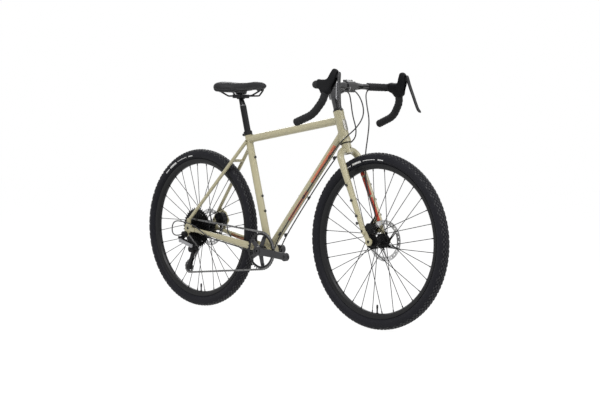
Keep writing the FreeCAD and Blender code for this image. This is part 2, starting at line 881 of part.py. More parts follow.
# Wheels, drawn about the origin and moved to their axles
def tyre():
    half = tyre_width / 2
    mouth = rim_channel_half_width - seating_gap
    lip = rim_outer_radius + tyre_bead_gap
    widest = (bead_radius + tyre_radius) / 2
    shoulder = tyre_radius - tread_shoulder_drop
    inner_shoulder = shoulder - tyre_shoulder_wall
    inner_tread = tread_half_width - tyre_tread_inset

    def line(first, last):
        return Part.LineSegment(Vector(first[1], first[0], 0), Vector(last[1], last[0], 0)).toShape()

    def arc(first, middle, last):
        return Part.Arc(*[Vector(radius, side, 0) for side, radius in (first, middle, last)]).toShape()

    edges = [line((mouth, bead_radius), (mouth, lip)),
             arc((mouth, lip), (half, widest), (tread_half_width, shoulder)),
             arc((tread_half_width, shoulder), (0, tyre_radius), (-tread_half_width, shoulder)),
             arc((-tread_half_width, shoulder), (-half, widest), (-mouth, lip)),
             line((-mouth, lip), (-mouth, bead_radius)),
             line((-mouth, bead_radius), (tyre_wall - mouth, bead_radius)),
             line((tyre_wall - mouth, bead_radius), (tyre_wall - mouth, lip)),
             arc((tyre_wall - mouth, lip), (tyre_wall - half, widest), (-inner_tread, inner_shoulder)),
             arc((-inner_tread, inner_shoulder), (0, tyre_radius - tyre_wall), (inner_tread, inner_shoulder)),
             arc((inner_tread, inner_shoulder), (half - tyre_wall, widest), (mouth - tyre_wall, lip)),
             line((mouth - tyre_wall, lip), (mouth - tyre_wall, bead_radius)),
             line((mouth - tyre_wall, bead_radius), (mouth, bead_radius))]
    return Part.Face(Part.Wire(edges)).revolve(origin, leftward, full_turn)


def both_sides(half_profile):
    """A profile of (side, radius) points followed by its reflection."""
    return half_profile + tuple((-side, radius) for side, radius in reversed(half_profile))


def on_wheel(angle, radius, side):
    return Vector(radius * math.cos(math.radians(angle)), side, radius * math.sin(math.radians(angle)))


spoke_step = full_turn / spoke_count
wheel_phase = valve_angle - spoke_step / 2
lacing_angle = spoke_crossings * 2 * full_turn / spoke_count


def spoke_lines(flange_left, flange_right):
    """The four kinds of spoke in a wheel, as (hub angle, rim angle, flange side, elbow side, rim side)."""
    kinds = []
    reach = flange_thickness / 2 + spoke_radius + spoke_elbow_gap
    for step, (flange, rim_side, turn, out) in enumerate(((flange_left, spoke_offset, 1, 1),
                                                          (flange_right, -spoke_offset, 1, -1),
                                                          (flange_left, spoke_offset, -1, -1),
                                                          (flange_right, -spoke_offset, -1, 1))):
        rim_angle = wheel_phase + spoke_step * step
        kinds.append((rim_angle - turn * lacing_angle, rim_angle, flange, flange + out * reach, rim_side,
                      out))
    return kinds


def spoke_and_nipple(kind):
    hub_angle, rim_angle, flange, elbow_side, rim_side, out = kind
    elbow = on_wheel(hub_angle, spoke_circle_radius, elbow_side)
    seat = on_wheel(rim_angle, rim_inner_radius, rim_side)
    along = unit(seat - elbow)
    far_face = flange - out * (flange_thickness / 2 + seating_gap)
    head_face = Vector(elbow.x, far_face, elbow.z)
    head_end = head_face - leftward * (out * spoke_head_length)
    spoke = fused([rod(elbow, seat + along * (rim_wall / 2), spoke_radius),
                   Part.makeSphere(spoke_radius, elbow),
                   rod(elbow, head_end, spoke_radius), rod(head_face, head_end, spoke_head_radius)])
    head = rim_wall + nipple_seat_gap
    bore = spoke_radius + running_gap
    tail = head - nipple_length
    nipple = spun(((tail, bore), (tail, nipple_radius), (head, nipple_radius), (head, nipple_head_radius),
                   (head + nipple_head_length, nipple_crown_radius), (head + nipple_head_length, 0),
                   (nipple_socket, 0), (nipple_socket, bore)), seat, along)
    drill = rod(seat - along * rim_wall, seat + along * (rim_wall * 2), nipple_hole_radius)
    return spoke, nipple, drill


def valve():
    base = bead_radius - rim_well_depth + seating_gap
    foot = base + rim_wall
    nut = rim_inner_radius - seating_gap
    profile = ((foot, 0), (foot, valve_base_radius), (base, valve_base_radius), (base, valve_radius),
               (nut, valve_radius), (nut, valve_nut_radius), (nut - rim_wall, valve_nut_radius),
               (nut - rim_wall, valve_radius), (base - valve_reach + valve_cap_length, valve_radius),
               (base - valve_reach + valve_cap_length, valve_cap_radius),
               (base - valve_reach + valve_cap_radius, valve_cap_radius),
               (base - valve_reach, valve_tip_radius),
               (base - valve_reach, 0))
    return spun(profile, origin, on_wheel(valve_angle, 1, 0))


def rim(drills):
    bed = bead_radius - seating_gap * 2
    well = bead_radius - rim_well_depth
    outer = ((rim_channel_half_width, rim_outer_radius), (rim_half_width, rim_outer_radius),
             (rim_half_width, rim_inner_radius + (rim_outer_radius - rim_inner_radius) * rim_side_share),
             (rim_flank_half_width, rim_inner_radius + rim_flank_rise),
             (rim_flat_half_width, rim_inner_radius))
    channel = ((-rim_channel_half_width, bed), (-rim_well_half_width - rim_wall, bed),
               (-rim_well_half_width, well))
    reflected = tuple((-side, radius) for side, radius in reversed(channel))
    body = spun(both_sides(outer) + channel + reflected, origin, leftward)
    cavity = ((rim_half_width - rim_side_wall, bed - rim_bed_wall),
              (rim_flank_half_width - rim_flank_wall, rim_inner_radius + rim_flank_rise + rim_flank_step),
              (rim_flat_half_width - rim_flat_inset, rim_inner_radius + rim_wall))
    roof = ((-rim_well_half_width, well - rim_wall), (rim_well_half_width, well - rim_wall))
    body = body.cut(spun(both_sides(cavity) + roof, origin, leftward))
    valve_drill = rod(on_wheel(valve_angle, rim_inner_radius - rim_wall, 0),
                      on_wheel(valve_angle, bead_radius, 0),
                      valve_hole_radius)
    return body.cut(Part.Compound(drills + [valve_drill]))


def hub(right_end, left_end, flange_right, flange_left, rotor_side, kinds):
    half_flange = flange_thickness / 2
    mount = rotor_side - rotor_half_thickness
    pilot = rotor_bore - seating_gap
    seat = hub_bearing_radius
    outer = ((right_end, seat), (right_end, hub_right_radius), (flange_right - half_flange, hub_right_radius),
             (flange_right - half_flange, flange_radius), (flange_right + half_flange, flange_radius),
             (flange_right + half_flange, hub_barrel_radius),
             (flange_right + hub_barrel_radius / 2, hub_waist_radius),
             (flange_left - hub_barrel_radius / 2, hub_waist_radius),
             (flange_left - half_flange, hub_barrel_radius),
             (flange_left - half_flange, flange_radius), (flange_left + half_flange, flange_radius),
             (flange_left + half_flange, hub_rotor_radius), (mount - flange_thickness, rotor_boss_radius),
             (mount, rotor_boss_radius), (mount, pilot), (left_end, hub_left_radius), (left_end, seat))
    inner = ((left_end - hub_bearing_width, seat), (left_end - hub_bearing_width, hub_bore),
             (right_end + hub_bearing_width, hub_bore), (right_end + hub_bearing_width, seat))
    body = spun(outer + inner, origin, leftward)
    drills = []
    for hub_angle, rim_angle, flange, elbow_side, rim_side, out in kinds:
        place = on_wheel(hub_angle, spoke_circle_radius, flange)
        drill = rod(place - leftward * flange_thickness, place + leftward * flange_thickness,
                    spoke_hole_radius)
        drills += ring_of(drill, origin, spoke_count // 4)
    threads = rod(on_wheel(0, rotor_bolt_circle, mount), on_wheel(0, rotor_bolt_circle, mount - bolt_shank),
                  rotor_bolt_radius + running_gap)
    body = body.cut(Part.Compound(drills + ring_of(threads, origin, rotor_bolts)))
    bearings = [pipe(leftward * start, leftward * (start + hub_bearing_width), seat, axle_sleeve_radius
                     + running_gap)
                for start in (right_end, left_end - hub_bearing_width)]
    return [body] + bearings


def rotor(side):
    near = -rotor_half_thickness
    far = rotor_half_thickness
    band_inner = rotor_radius - rotor_band
    band = plate_disc(origin, rotor_radius, near, far).cut(plate_disc(origin, band_inner, near, far))
    boss = plate_disc(origin, rotor_boss_radius, near, far).cut(plate_disc(origin, rotor_bore, near, far))
    arm = plate_arm(on_wheel(0, rotor_bolt_circle, 0),
                    on_wheel(rotor_arm_lean, band_inner + rotor_arm_half_width, 0),
                    rotor_arm_half_width, near, far)
    vent = plate_disc(on_wheel(0, rotor_radius - rotor_band / 2, 0), rotor_hole_radius, near, far)
    bolt_hole = plate_disc(on_wheel(0, rotor_bolt_circle, 0), rotor_bolt_radius + running_gap, near, far)
    plate = fused([band, boss] + ring_of(arm, origin, rotor_bolts))
    plate = plate.cut(plate_disc(origin, rotor_bore, near, far))
    plate = plate.cut(Part.Compound(ring_of(vent, origin, rotor_hole_count)
                                    + ring_of(bolt_hole, origin, rotor_bolts)))
    fixing = bolt(on_wheel(0, rotor_bolt_circle, far), leftward, rotor_bolt_head_radius, rotor_bolt_head,
                  rotor_bolt_radius, bolt_shank)
    pieces = [plate] + ring_of(fixing, origin, rotor_bolts)
    return [moved(piece, leftward * side) for piece in pieces]


def moved(shape, offset):
    copy = shape.copy()
    copy.translate(offset)
    return copy


def build_wheel(name, axle, right_end, left_end, flange_right, flange_left, rotor_side):
    kinds = spoke_lines(flange_left, flange_right)
    spokes = []
    drills = []
    for kind in kinds:
        spoke, nipple, drill = spoke_and_nipple(kind)
        spokes += ring_of(spoke, origin, spoke_count // 4) + ring_of(nipple, origin, spoke_count // 4)
        drills += ring_of(drill, origin, spoke_count // 4)
    groups = {"tyre": [tyre()], "rim": [rim(drills), valve()], "spokes": spokes, "rotor": rotor(rotor_side),
              "hub": hub(right_end, left_end, flange_right, flange_left, rotor_side, kinds)}
    for part_name, shapes in groups.items():
        save(name + "_" + part_name, *[moved(shape, axle) for shape in shapes])


front_hub_end = front_hub_half_width - axle_cap_width - moving_gap
rear_hub_end = dropout_face - axle_cap_width - moving_gap
build_wheel("front", front_axle, -front_hub_end, front_hub_end, front_flange_right, front_flange_left,
            front_rotor_side)
build_wheel("rear", rear_axle, freehub_start + moving_gap * 2, rear_hub_end, rear_flange_right,
            rear_flange_left,
            rear_rotor_side)


# Thru-axles with the fixed sleeves that the hubs turn on
def axle_group(axle, half_width, cap_width, plate):
    profile = ((-half_width, axle_radius + running_gap), (-half_width, axle_cap_radius),
               (cap_width - half_width, axle_cap_radius), (cap_width - half_width, axle_sleeve_radius))
    sleeve = spun(profile + tuple((-along, radius) for along, radius in reversed(profile)), axle, leftward)
    outside = half_width + plate
    through = bolt(axle + leftward * outside, leftward, axle_head_radius, axle_head_length, axle_radius,
                   outside * 2)
    return [sleeve, through]


# Calipers: a body that straddles the rotor, two bolts through a tab, and a hose fitting
def caliper_place(axle, angle, shift, along, radius, side):
    outward = Vector(math.cos(math.radians(angle)), 0, math.sin(math.radians(angle)))
    across = Vector(-outward.z, 0, outward.x)
    return axle + outward * radius + across * (along + shift) + leftward * side


def caliper(axle, angle, shift, rotor_side):
    def spot(along, radius, side=0):
        return caliper_place(axle, angle, shift, along, radius, rotor_side + side)

    def block(outline, corner_radius, near, far):
        corners = [spot(along, radius, near) for along, radius in outline]
        wire = bent(corners, [corner_radius] * len(corners), closed=True)
        return Part.Face(wire).extrude(leftward * (far - near))

    half = caliper_half_length
    body = block(((-half, caliper_inner_radius), (half, caliper_inner_radius), (half, caliper_shoulder),
                  (caliper_top_half_length, caliper_outer_radius),
                  (-caliper_top_half_length, caliper_outer_radius), (-half, caliper_shoulder)),
                 caliper_corner, -caliper_half_width, caliper_half_width)
    cup_end = -caliper_half_width - caliper_cup
    pad_middle = (pad_inner_radius + pad_outer_radius) / 2
    body = body.fuse(rod(spot(0, pad_middle, cup_end), spot(0, pad_middle, 0), caliper_cup_radius))
    pad_near = rotor_half_thickness + pad_gap
    slot_half = pad_near + pad_thickness + pad_back_gap
    slot = slab([(spot(along, radius).x, spot(along, radius).z)
                 for along, radius in ((-half * 2, 0), (half * 2, 0), (half * 2, caliper_bridge),
                                       (-half * 2, caliper_bridge))],
                rotor_side - slot_half, rotor_side + slot_half)
    body = body.cut(slot)
    tab_face = caliper_half_width + tab_thickness
    bolts = []
    for along in (-caliper_bolt_half_spacing, caliper_bolt_half_spacing):
        place = spot(along, caliper_bolt_place, tab_face)
        body = body.cut(rod(place, place - leftward * (caliper_half_width * 2), caliper_bolt_radius
                            + running_gap))
        bolts.append(bolt(place, leftward, caliper_bolt_head_radius, caliper_bolt_head, caliper_bolt_radius,
                          tab_thickness + caliper_half_width))
    fitting_start = spot(hose_fitting_root - half, hose_fitting_place)
    fitting_end = spot(-half - hose_fitting_length, hose_fitting_place)
    fitting = pipe(fitting_start, fitting_end, hose_fitting_radius, hose_radius + running_gap).cut(body)
    pads = []
    for sign in (1, -1):
        outline = ((-pad_half_length, pad_inner_radius), (pad_half_length, pad_inner_radius),
                   (pad_half_length, pad_outer_radius), (-pad_half_length, pad_outer_radius))
        pads.append(block(outline, pad_corner, sign * pad_near, sign * (pad_near + pad_thickness)))
    return body, bolts, largest(fitting), pads, fitting_end


def caliper_tab(axle, angle, shift, rotor_side, roots):
    """The plate that a caliper is bolted to, with an arm to each root on the frame or the fork."""
    near = rotor_side + caliper_half_width
    far = near + tab_thickness
    spots = [caliper_place(axle, angle, shift, along, caliper_bolt_place, 0)
             for along in (-caliper_bolt_half_spacing, caliper_bolt_half_spacing)]
    pieces = [plate_disc(spot, tab_radius, near, far) for spot in spots]
    pieces.append(plate_arm(spots[0], spots[1], tab_radius, near, far))
    for spot, root in zip(spots, roots):
        pieces.append(plate_arm(spot, Vector(root.x, 0, root.z), tab_radius, near, far))
    plate = fused(pieces)
    for spot in spots:
        plate = plate.cut(plate_disc(spot, caliper_bolt_radius + running_gap, near, far))
    return plate


rear_tab_roots = (shell_centre - chainstay_line * tab_chainstay_share,
                  seatstay_foot + (seatstay_top - seatstay_foot) * tab_seatstay_share)
rear_tab = caliper_tab(rear_axle, caliper_angle_rear, caliper_shift_rear, rear_rotor_side, rear_tab_roots)
rear_tab = largest(rear_tab.cut(chainstay(0)).cut(seatstay_solid).cut(dropout_left))
save("rear_dropouts", dropout_left, dropout_right, rear_tab)
rear_body, rear_bolts, rear_fitting, rear_pads, rear_inlet = caliper(rear_axle, caliper_angle_rear,
                                                                     caliper_shift_rear,
                                                                     rear_rotor_side)
save("rear_caliper", rear_body, rear_fitting, *rear_bolts)
save("rear_pad_left", rear_pads[0])
save("rear_pad_right", rear_pads[1])
frame_bolts = [boss_bolt(place, outward) for place, outward in down_bolts + seat_bolts]
rear_through = axle_group(rear_axle, dropout_face, rear_axle_cap_width, dropout_thickness)
save("frame_fasteners", *(rear_through + frame_bolts))

# Fork: one welded piece with a bent crown, tapered legs, dropouts and a brake tab on the left leg
leg_top = on_steerer(leg_top_along, leg_top_forward, leg_top_side)
leg_foot = on_steerer(leg_foot_along, leg_foot_forward, leg_foot_side)
leg_up = unit(leg_top - leg_foot)
crown_corner = leg_top + leg_up * crown_bend
crown_middle = Vector(crown_corner.x, 0, crown_corner.z)
crown_path = bent([leg_top, crown_corner, crown_middle], [0, crown_bend_radius, 0])
steerer_end = stem_along + stem_clamp_height / 2 - steerer_recess
fork_inside = front_hub_half_width
fork_outside = fork_inside + fork_dropout_thickness


def on_leg(along, out=0):
    share = (along - leg_foot_along) / (leg_top_along - leg_foot_along)
    radius = leg_foot_radius + (leg_top_radius - leg_foot_radius) * share
    return leg_foot + (leg_top - leg_foot) * share + leftward * (radius * out)


leg = fused([taper(leg_foot, leg_top, leg_foot_radius, leg_top_radius),
             Part.makeSphere(leg_foot_radius, leg_foot),
             swept(crown_path, leg_top_radius),
             plate_disc(front_axle, fork_dropout_radius, fork_inside, fork_outside),
             plate_arm(front_axle, leg_foot, fork_dropout_arm, fork_inside, fork_outside)])
fork_tab_roots = (on_leg(fork_bolt_alongs[2]), on_leg(fork_eyelet_along))
fork_tab = caliper_tab(front_axle, caliper_angle_front, caliper_shift_front, front_rotor_side, fork_tab_roots)
steerer = rod(on_steerer(crown_foot), on_steerer(steerer_end), steerer_radius)
crown = rod(on_steerer(crown_foot), on_steerer(crown_top), crown_radius)
fork = fused([crown, steerer, leg, mirrored(leg), fork_tab])
leg_bolts = [(on_leg(along, 1), leftward) for along in fork_bolt_alongs + (fork_eyelet_along,)]
leg_holes = boss_holes(leg_bolts)
leg_bore = taper(on_leg(leg_plug), leg_top, leg_foot_radius - leg_wall, leg_top_radius - leg_wall)
fork_cuts = [leg_bore, mirrored(leg_bore),
             rod(on_steerer(crown_foot - crown_bend), on_steerer(steerer_end), steerer_radius - steerer_wall),
             rod(on_steerer(crown_hole_along), on_steerer(crown_hole_along, crown_bend), crown_hole_radius),
             plate_disc(front_axle, axle_radius + running_gap, -fork_outside, fork_outside),
             leg_holes, mirrored(leg_holes)]
for cutter in fork_cuts:
    fork = fork.cut(cutter)
save("fork", largest(fork))
fork_bolts = [boss_bolt(place, outward) for place, outward in leg_bolts]
fork_bolts += [mirrored(shape) for shape in fork_bolts]
front_through = axle_group(front_axle, front_hub_half_width, axle_cap_width, fork_dropout_thickness)
save("fork_fasteners", *(front_through + fork_bolts))
front_body, front_bolts, front_fitting, front_pads, front_inlet = caliper(front_axle, caliper_angle_front,
                                                                          caliper_shift_front,
                                                                          front_rotor_side)
save("front_caliper", front_body, front_fitting, *front_bolts)
save("front_pad_left", front_pads[0])
save("front_pad_right", front_pads[1])


# Sprockets: round gullets for the chain's rollers, straight flanks and narrow tips
def pitch_radius(teeth):
    return chain_pitch / 2 / math.sin(math.pi / teeth)


def sprocket(teeth, phase, side, thickness):
    ring = pitch_radius(teeth)
    tip_radius = ring + tooth_height
    step = full_turn / teeth
    tip = math.degrees(tooth_tip / 2 / tip_radius)
    gullet = roller_radius + roller_gap
    rise = gullet * math.cos(math.radians(gullet_half_angle))
    run = gullet * math.sin(math.radians(gullet_half_angle))
    near = side - thickness / 2
    points = []
    for tooth in range(teeth):
        angle = phase + step * tooth
        centre = on_wheel(angle, ring, near)
        outward = on_wheel(angle, 1, 0)
        across = on_wheel(angle + full_turn / 4, 1, 0)
        points.append((centre - outward * rise - across * run, centre - outward * gullet,
                       centre - outward * rise + across * run,
                       on_wheel(angle + step / 2 - tip, tip_radius, near),
                       on_wheel(angle + step / 2 + tip, tip_radius, near)))
    edges = []
    for index, (entry, bottom, leave, tip_start, tip_end) in enumerate(points):
        following = points[(index + 1) % teeth][0]
        edges.append(Part.Arc(entry, bottom, leave).toShape())
        edges += [Part.LineSegment(first, last).toShape()
                  for first, last in ((leave, tip_start), (tip_start, tip_end), (tip_end, following))]
    return Part.Face(Part.Wire(edges)).extrude(leftward * thickness)


# Chain line: the loop round chainring, tension pulley, guide pulley and cog, walked in links
chain_side = first_cog_side - cog_spacing * chain_cog
guide_centre = rear_axle + Vector(guide_forward, 0, -guide_drop)


def tension_centre(cage_angle):
    return guide_centre + on_wheel(cage_angle, cage_length, 0)


def chain_loop(cage_angle):
    """Legs of the loop: straight start and end, wheel centre and teeth, turn, arrival angle, sweep."""
    stations = [(shell_centre, chainring_teeth, -1), (tension_centre(cage_angle), pulley_teeth, -1),
                (guide_centre, pulley_teeth, 1), (rear_axle, cog_teeth[chain_cog], -1)]
    tangents = []
    for index, (centre, teeth, turn) in enumerate(stations):
        next_centre, next_teeth, next_turn = stations[(index + 1) % len(stations)]
        between = next_centre - centre
        over = next_turn * pitch_radius(next_teeth) - turn * pitch_radius(teeth)
        run = math.sqrt(between.x ** 2 + between.z ** 2 - over ** 2)
        aside = Vector(-between.z, 0, between.x)
        normal = (between * over + aside * run) * (1 / (between.x ** 2 + between.z ** 2))
        tangents.append((centre - normal * (turn * pitch_radius(teeth)),
                         next_centre - normal * (next_turn * pitch_radius(next_teeth))))
    legs = []
    for index, (start, end) in enumerate(tangents):
        centre, teeth, turn = stations[(index + 1) % len(stations)]
        leave = tangents[(index + 1) % len(stations)][0] - centre
        arrive = end - centre
        arrival = math.degrees(math.atan2(arrive.z, arrive.x))
        sweep = (turn * (math.degrees(math.atan2(leave.z, leave.x)) - arrival)) % full_turn
        legs.append((start, end, centre, teeth, turn, arrival, sweep))
    return legs


def links_in(legs):
    return sum((end - start).Length / chain_pitch + sweep * teeth / full_turn
               for start, end, centre, teeth, turn, arrival, sweep in legs)


# The cage swings until the loop holds a whole and even number of links
link_count = 2 * round(links_in(chain_loop(cage_angle_guess)) / 2)
cage_low = cage_angle_guess - half_turn / 9
cage_high = cage_angle_guess + half_turn / 9
rising = links_in(chain_loop(cage_high)) > links_in(chain_loop(cage_low))
for halving in range(50):
    cage_angle = (cage_low + cage_high) / 2
    if (links_in(chain_loop(cage_angle)) > link_count) == rising:
        cage_high = cage_angle
    else:
        cage_low = cage_angle
chain_legs = chain_loop(cage_angle)

# Roller places along the loop, and the angle of a gullet on each wheel that the chain meets
rollers = []
phases = []
walked = 0.0
for start, end, centre, teeth, turn, arrival, sweep in chain_legs:
    straight = (end - start).Length / chain_pitch
    while len(rollers) < walked + straight:
        rollers.append(start + (end - start) * ((len(rollers) - walked) / straight))
    walked += straight
    step = full_turn / teeth
    phases.append(arrival + turn * step * (len(rollers) - walked))
    while len(rollers) < min(walked + sweep / step, link_count):
        angle = arrival + turn * step * (len(rollers) - walked)
        rollers.append(centre + on_wheel(angle, pitch_radius(teeth), 0))
    walked += sweep / step
tension_phase, guide_phase, cog_phase, chainring_phase = phases


def link_plate(near, far):
    """A plate with two round ends and a waist, drawn from the first roller along X."""
    half = chain_pitch / 2
    run = plate_end_radius * math.cos(math.radians(plate_shoulder_angle))
    rise = plate_end_radius * math.sin(math.radians(plate_shoulder_angle))

    def arc(*spots):
        return Part.Arc(*[Vector(x, near, z) for x, z in spots])

    far_run = chain_pitch - run
    edges = [arc((run, rise), (-plate_end_radius, 0), (run, -rise)),
             arc((run, -rise), (half, -plate_waist), (far_run, -rise)),
             arc((far_run, -rise), (chain_pitch + plate_end_radius, 0), (far_run, rise)),
             arc((far_run, rise), (half, plate_waist), (run, rise))]
    face = Part.Face(Part.Wire([edge.toShape() for edge in edges]))
    return face.extrude(leftward * (far - near))


def across_chain(x, radius, half_width):
    return rod(Vector(x, -half_width, 0), Vector(x, half_width, 0), radius)


inner_far = inner_plate_gap + plate_thickness
outer_near = inner_far + plate_gap
outer_far = outer_near + plate_thickness
inner_link = fused([link_plate(inner_plate_gap, inner_far), link_plate(-inner_far, -inner_plate_gap)]
                   + [across_chain(x, roller_radius, inner_plate_gap) for x in (0, chain_pitch)])
pin_holes = [across_chain(x, pin_radius + pin_gap, inner_far) for x in (0, chain_pitch)]
inner_link = inner_link.cut(Part.Compound(pin_holes))
outer_link = fused([link_plate(outer_near, outer_far), link_plate(-outer_far, -outer_near)]
                   + [across_chain(x, pin_radius, outer_far + plate_gap) for x in (0, chain_pitch)])
links = []
for index, roller in enumerate(rollers):
    ahead = rollers[(index + 1) % link_count] - roller
    link = (inner_link if index % 2 == 0 else outer_link).copy()
    link.rotate(origin, leftward, -math.degrees(math.atan2(ahead.z, ahead.x)))
    link.translate(roller + leftward * chain_side)
    links.append(link)
save("chain", *links)

# Cassette: cogs and spacers on a freehub body, held by a lockring
freehub = spun(((freehub_start, axle_sleeve_radius + running_gap), (freehub_start, freehub_shoulder_radius),
                (first_cog_side + cog_thickness / 2 + seating_gap, freehub_shoulder_radius),
                (first_cog_side + cog_thickness / 2 + seating_gap, cog_bore), (freehub_end, cog_bore),
                (freehub_end, axle_sleeve_radius + running_gap)), rear_axle, leftward)
cassette = [freehub]
for place, teeth in enumerate(cog_teeth):
    side = first_cog_side - cog_spacing * place
    cog = sprocket(teeth, cog_phase, side, cog_thickness)
    near = side - cog_thickness / 2
    far = side + cog_thickness / 2
    cuts = [plate_disc(origin, cog_bore + running_gap, near, far)]
    root = pitch_radius(teeth) - roller_radius
    if teeth >= cog_window_teeth:
        window_radius = (root - spacer_ring_radius) * cog_window_share
        window = plate_disc(on_wheel(place * cog_window_turn, (root + spacer_ring_radius) / 2, 0),
                            window_radius, near, far)
        cuts += ring_of(window, origin, cog_window_count)
    cassette.append(moved(cog.cut(Part.Compound(cuts)), rear_axle))
    if place:
        gap_start = rear_axle + leftward * far
        gap_end = rear_axle + leftward * (far + cog_spacing - cog_thickness)
        cassette.append(pipe(gap_start, gap_end, min(spacer_ring_radius, root * spacer_ring_share),
                             cog_bore + running_gap))
lock_start = first_cog_side - cog_spacing * (len(cog_teeth) - 1) - cog_thickness / 2 - seating_gap
lockring = pipe(rear_axle + leftward * lock_start, rear_axle + leftward * (lock_start - lockring_thickness),
                lockring_radius, hub_bearing_radius)
save("cassette", *(cassette + [lockring]))

# Crankset: chainring, right arm with spider and spindle, and left arm
crank_turn = -crank_rest_angle
ring_outer = chain_side - chainring_thickness / 2
ring_inner = chain_side + chainring_thickness / 2
ring_tabs = ring_of(plate_disc(on_wheel(0, bolt_circle_radius, 0), ring_tab_radius, ring_outer,
                               ring_inner), origin,
                    spider_arms, crank_turn)
ring_holes = ring_of(plate_disc(on_wheel(0, bolt_circle_radius, 0), ring_bolt_radius + running_gap,
                                ring_outer - spider_thickness, ring_inner), origin, spider_arms, crank_turn)
toothed = sprocket(chainring_teeth, chainring_phase, chain_side, chainring_thickness)
toothed = toothed.cut(plate_disc(origin, chainring_inner_radius, ring_outer, ring_inner))
chainring = fused([toothed] + ring_tabs).cut(Part.Compound(ring_holes))
spider_outer = ring_outer - spider_thickness
ring_bolt = bolt(on_wheel(0, bolt_circle_radius, spider_outer), leftward * -1, ring_bolt_head_radius,
                 ring_bolt_head,
                 ring_bolt_radius, spider_thickness + chainring_thickness)
ring_bolts = ring_of(ring_bolt, origin, spider_arms, crank_turn)
save("chainring", *[moved(shape, shell_centre) for shape in [chainring] + ring_bolts])


def crank_arm():
    """The left arm, pointing along X from the spindle's centre."""
    sections = []
    for share, high, thick in zip(crank_station_shares, crank_half_heights, crank_half_thickness):
        middle = Vector(crank_length * share, crank_root_side + (crank_tip_side - crank_root_side) * share, 0)
        corners = [middle + upward * (high * up) + leftward * (thick * out)
                   for up, out in ((1, 1), (1, -1), (-1, -1), (-1, 1))]
        sections.append(bent(corners, [crank_corner] * len(corners), closed=True))
    tip = Vector(crank_length, crank_tip_side, 0)
    root = Vector(0, crank_root_side, 0)
    arm = fused([Part.makeLoft(sections, True, False),
                 rod(root - leftward * crank_boss_half_width, root + leftward * crank_boss_half_width,
                     crank_boss_radius),
                 rod(tip - leftward * crank_tip_half_width, tip + leftward * crank_tip_half_width,
                     crank_tip_radius)])
    return arm.cut(rod(tip - leftward * crank_boss_radius, tip + leftward * crank_boss_radius,
                       pedal_thread_radius))


crank_outside = crank_root_side + crank_boss_half_width
left_arm = crank_arm()
left_arm = left_arm.cut(rod(leftward * shell_half_width, leftward * crank_outside, spindle_radius
                            + running_gap / 2))
cap_start = crank_outside - crank_cap_depth
crank_cap = spun(((cap_start, 0), (cap_start, spindle_radius), (crank_outside, spindle_radius),
                  (crank_outside, crank_key_radius), (crank_outside - crank_key_depth, crank_key_radius),
                  (crank_outside - crank_key_depth, 0)), origin, leftward)
left_turn = crank_turn + half_turn
save("crank_arm_left", *[moved(turned_about(shape, origin, leftward, left_turn), shell_centre)
                         for shape in (left_arm, crank_cap)])
spider = [plate_disc(origin, spider_boss_radius, spider_outer, ring_outer)]
spider_shape = [(0, spider_root_half_width), (bolt_circle_radius, ring_tab_radius),
                (bolt_circle_radius, -ring_tab_radius), (0, -spider_root_half_width)]
spider += ring_of(slab(spider_shape, spider_outer, ring_outer), origin, spider_arms)
spider += ring_of(plate_disc(on_wheel(0, bolt_circle_radius, 0), ring_tab_radius, spider_outer,
                             ring_outer), origin,
                  spider_arms)
spindle_end = crank_recess + crank_key_reach - crank_outside
spindle = pipe(leftward * spindle_end, leftward * (cap_start - seating_gap), spindle_radius, spindle_bore)
right_arm = fused([mirrored(crank_arm())] + spider)
recess = rod(leftward * -crank_outside, leftward * (crank_recess - crank_outside), crank_cap_radius)
key = rod(leftward * -crank_outside, leftward * spindle_end, crank_key_radius)
socket = rod(leftward * spindle_end, origin, spindle_radius + running_gap / 2)
right_arm = turned_about(right_arm.cut(recess).cut(key).cut(socket), origin, leftward, crank_turn)
right_arm = right_arm.cut(Part.Compound(ring_holes))
save("crank_arm_right", *[moved(shape, shell_centre) for shape in (largest(right_arm), spindle)])

# Derailleur
tension_middle = tension_centre(cage_angle)


def pulley(centre, phase):
    near = chain_side - pulley_hub_half_width
    far = chain_side + pulley_hub_half_width
    body = fused([sprocket(pulley_teeth, phase, chain_side, pulley_thickness),
                  plate_disc(origin, pulley_hub_radius, near, far)])
    windows = ring_of(plate_disc(on_wheel(0, (pitch_radius(pulley_teeth) + pulley_hub_radius) / 2, 0),
                                 pulley_window_radius, near, far), origin, pulley_windows)
    body = body.cut(Part.Compound(windows
                                  + [plate_disc(origin, pulley_axle_radius + running_gap, near, far)]))
    return moved(body, centre)


save("guide_pulley", pulley(guide_centre, guide_phase))
save("tension_pulley", pulley(tension_middle, tension_phase))


def cage_plate(near, far):
    ends = [plate_disc(centre, cage_end_radius, near, far) for centre in (guide_centre, tension_middle)]
    return fused(ends + [plate_arm(guide_centre, tension_middle, cage_waist_radius, near, far)])


outer_plate = chain_side - cage_plate_gap - cage_plate_thickness
inner_plate = chain_side + cage_plate_gap + cage_plate_thickness
knuckle_near = outer_plate - moving_gap
knuckle_far = knuckle_near - knuckle_length
cage_pieces = [cage_plate(outer_plate, chain_side - cage_plate_gap),
               cage_plate(chain_side + cage_plate_gap, inner_plate)]
for centre in (guide_centre, tension_middle):
    cage_pieces.append(plate_disc(centre, pulley_axle_radius, outer_plate - cage_bolt_head, inner_plate
                                  + cage_bolt_head))
    cage_pieces.append(plate_disc(centre, cage_bolt_head_radius, inner_plate, inner_plate + cage_bolt_head))
cage_pieces.append(plate_disc(tension_middle, cage_bolt_head_radius, outer_plate - cage_bolt_head,
                              outer_plate))
cage_pieces.append(plate_disc(guide_centre, cage_pivot_radius, knuckle_far + lug_margin, outer_plate))
save("derailleur_cage", fused(cage_pieces))

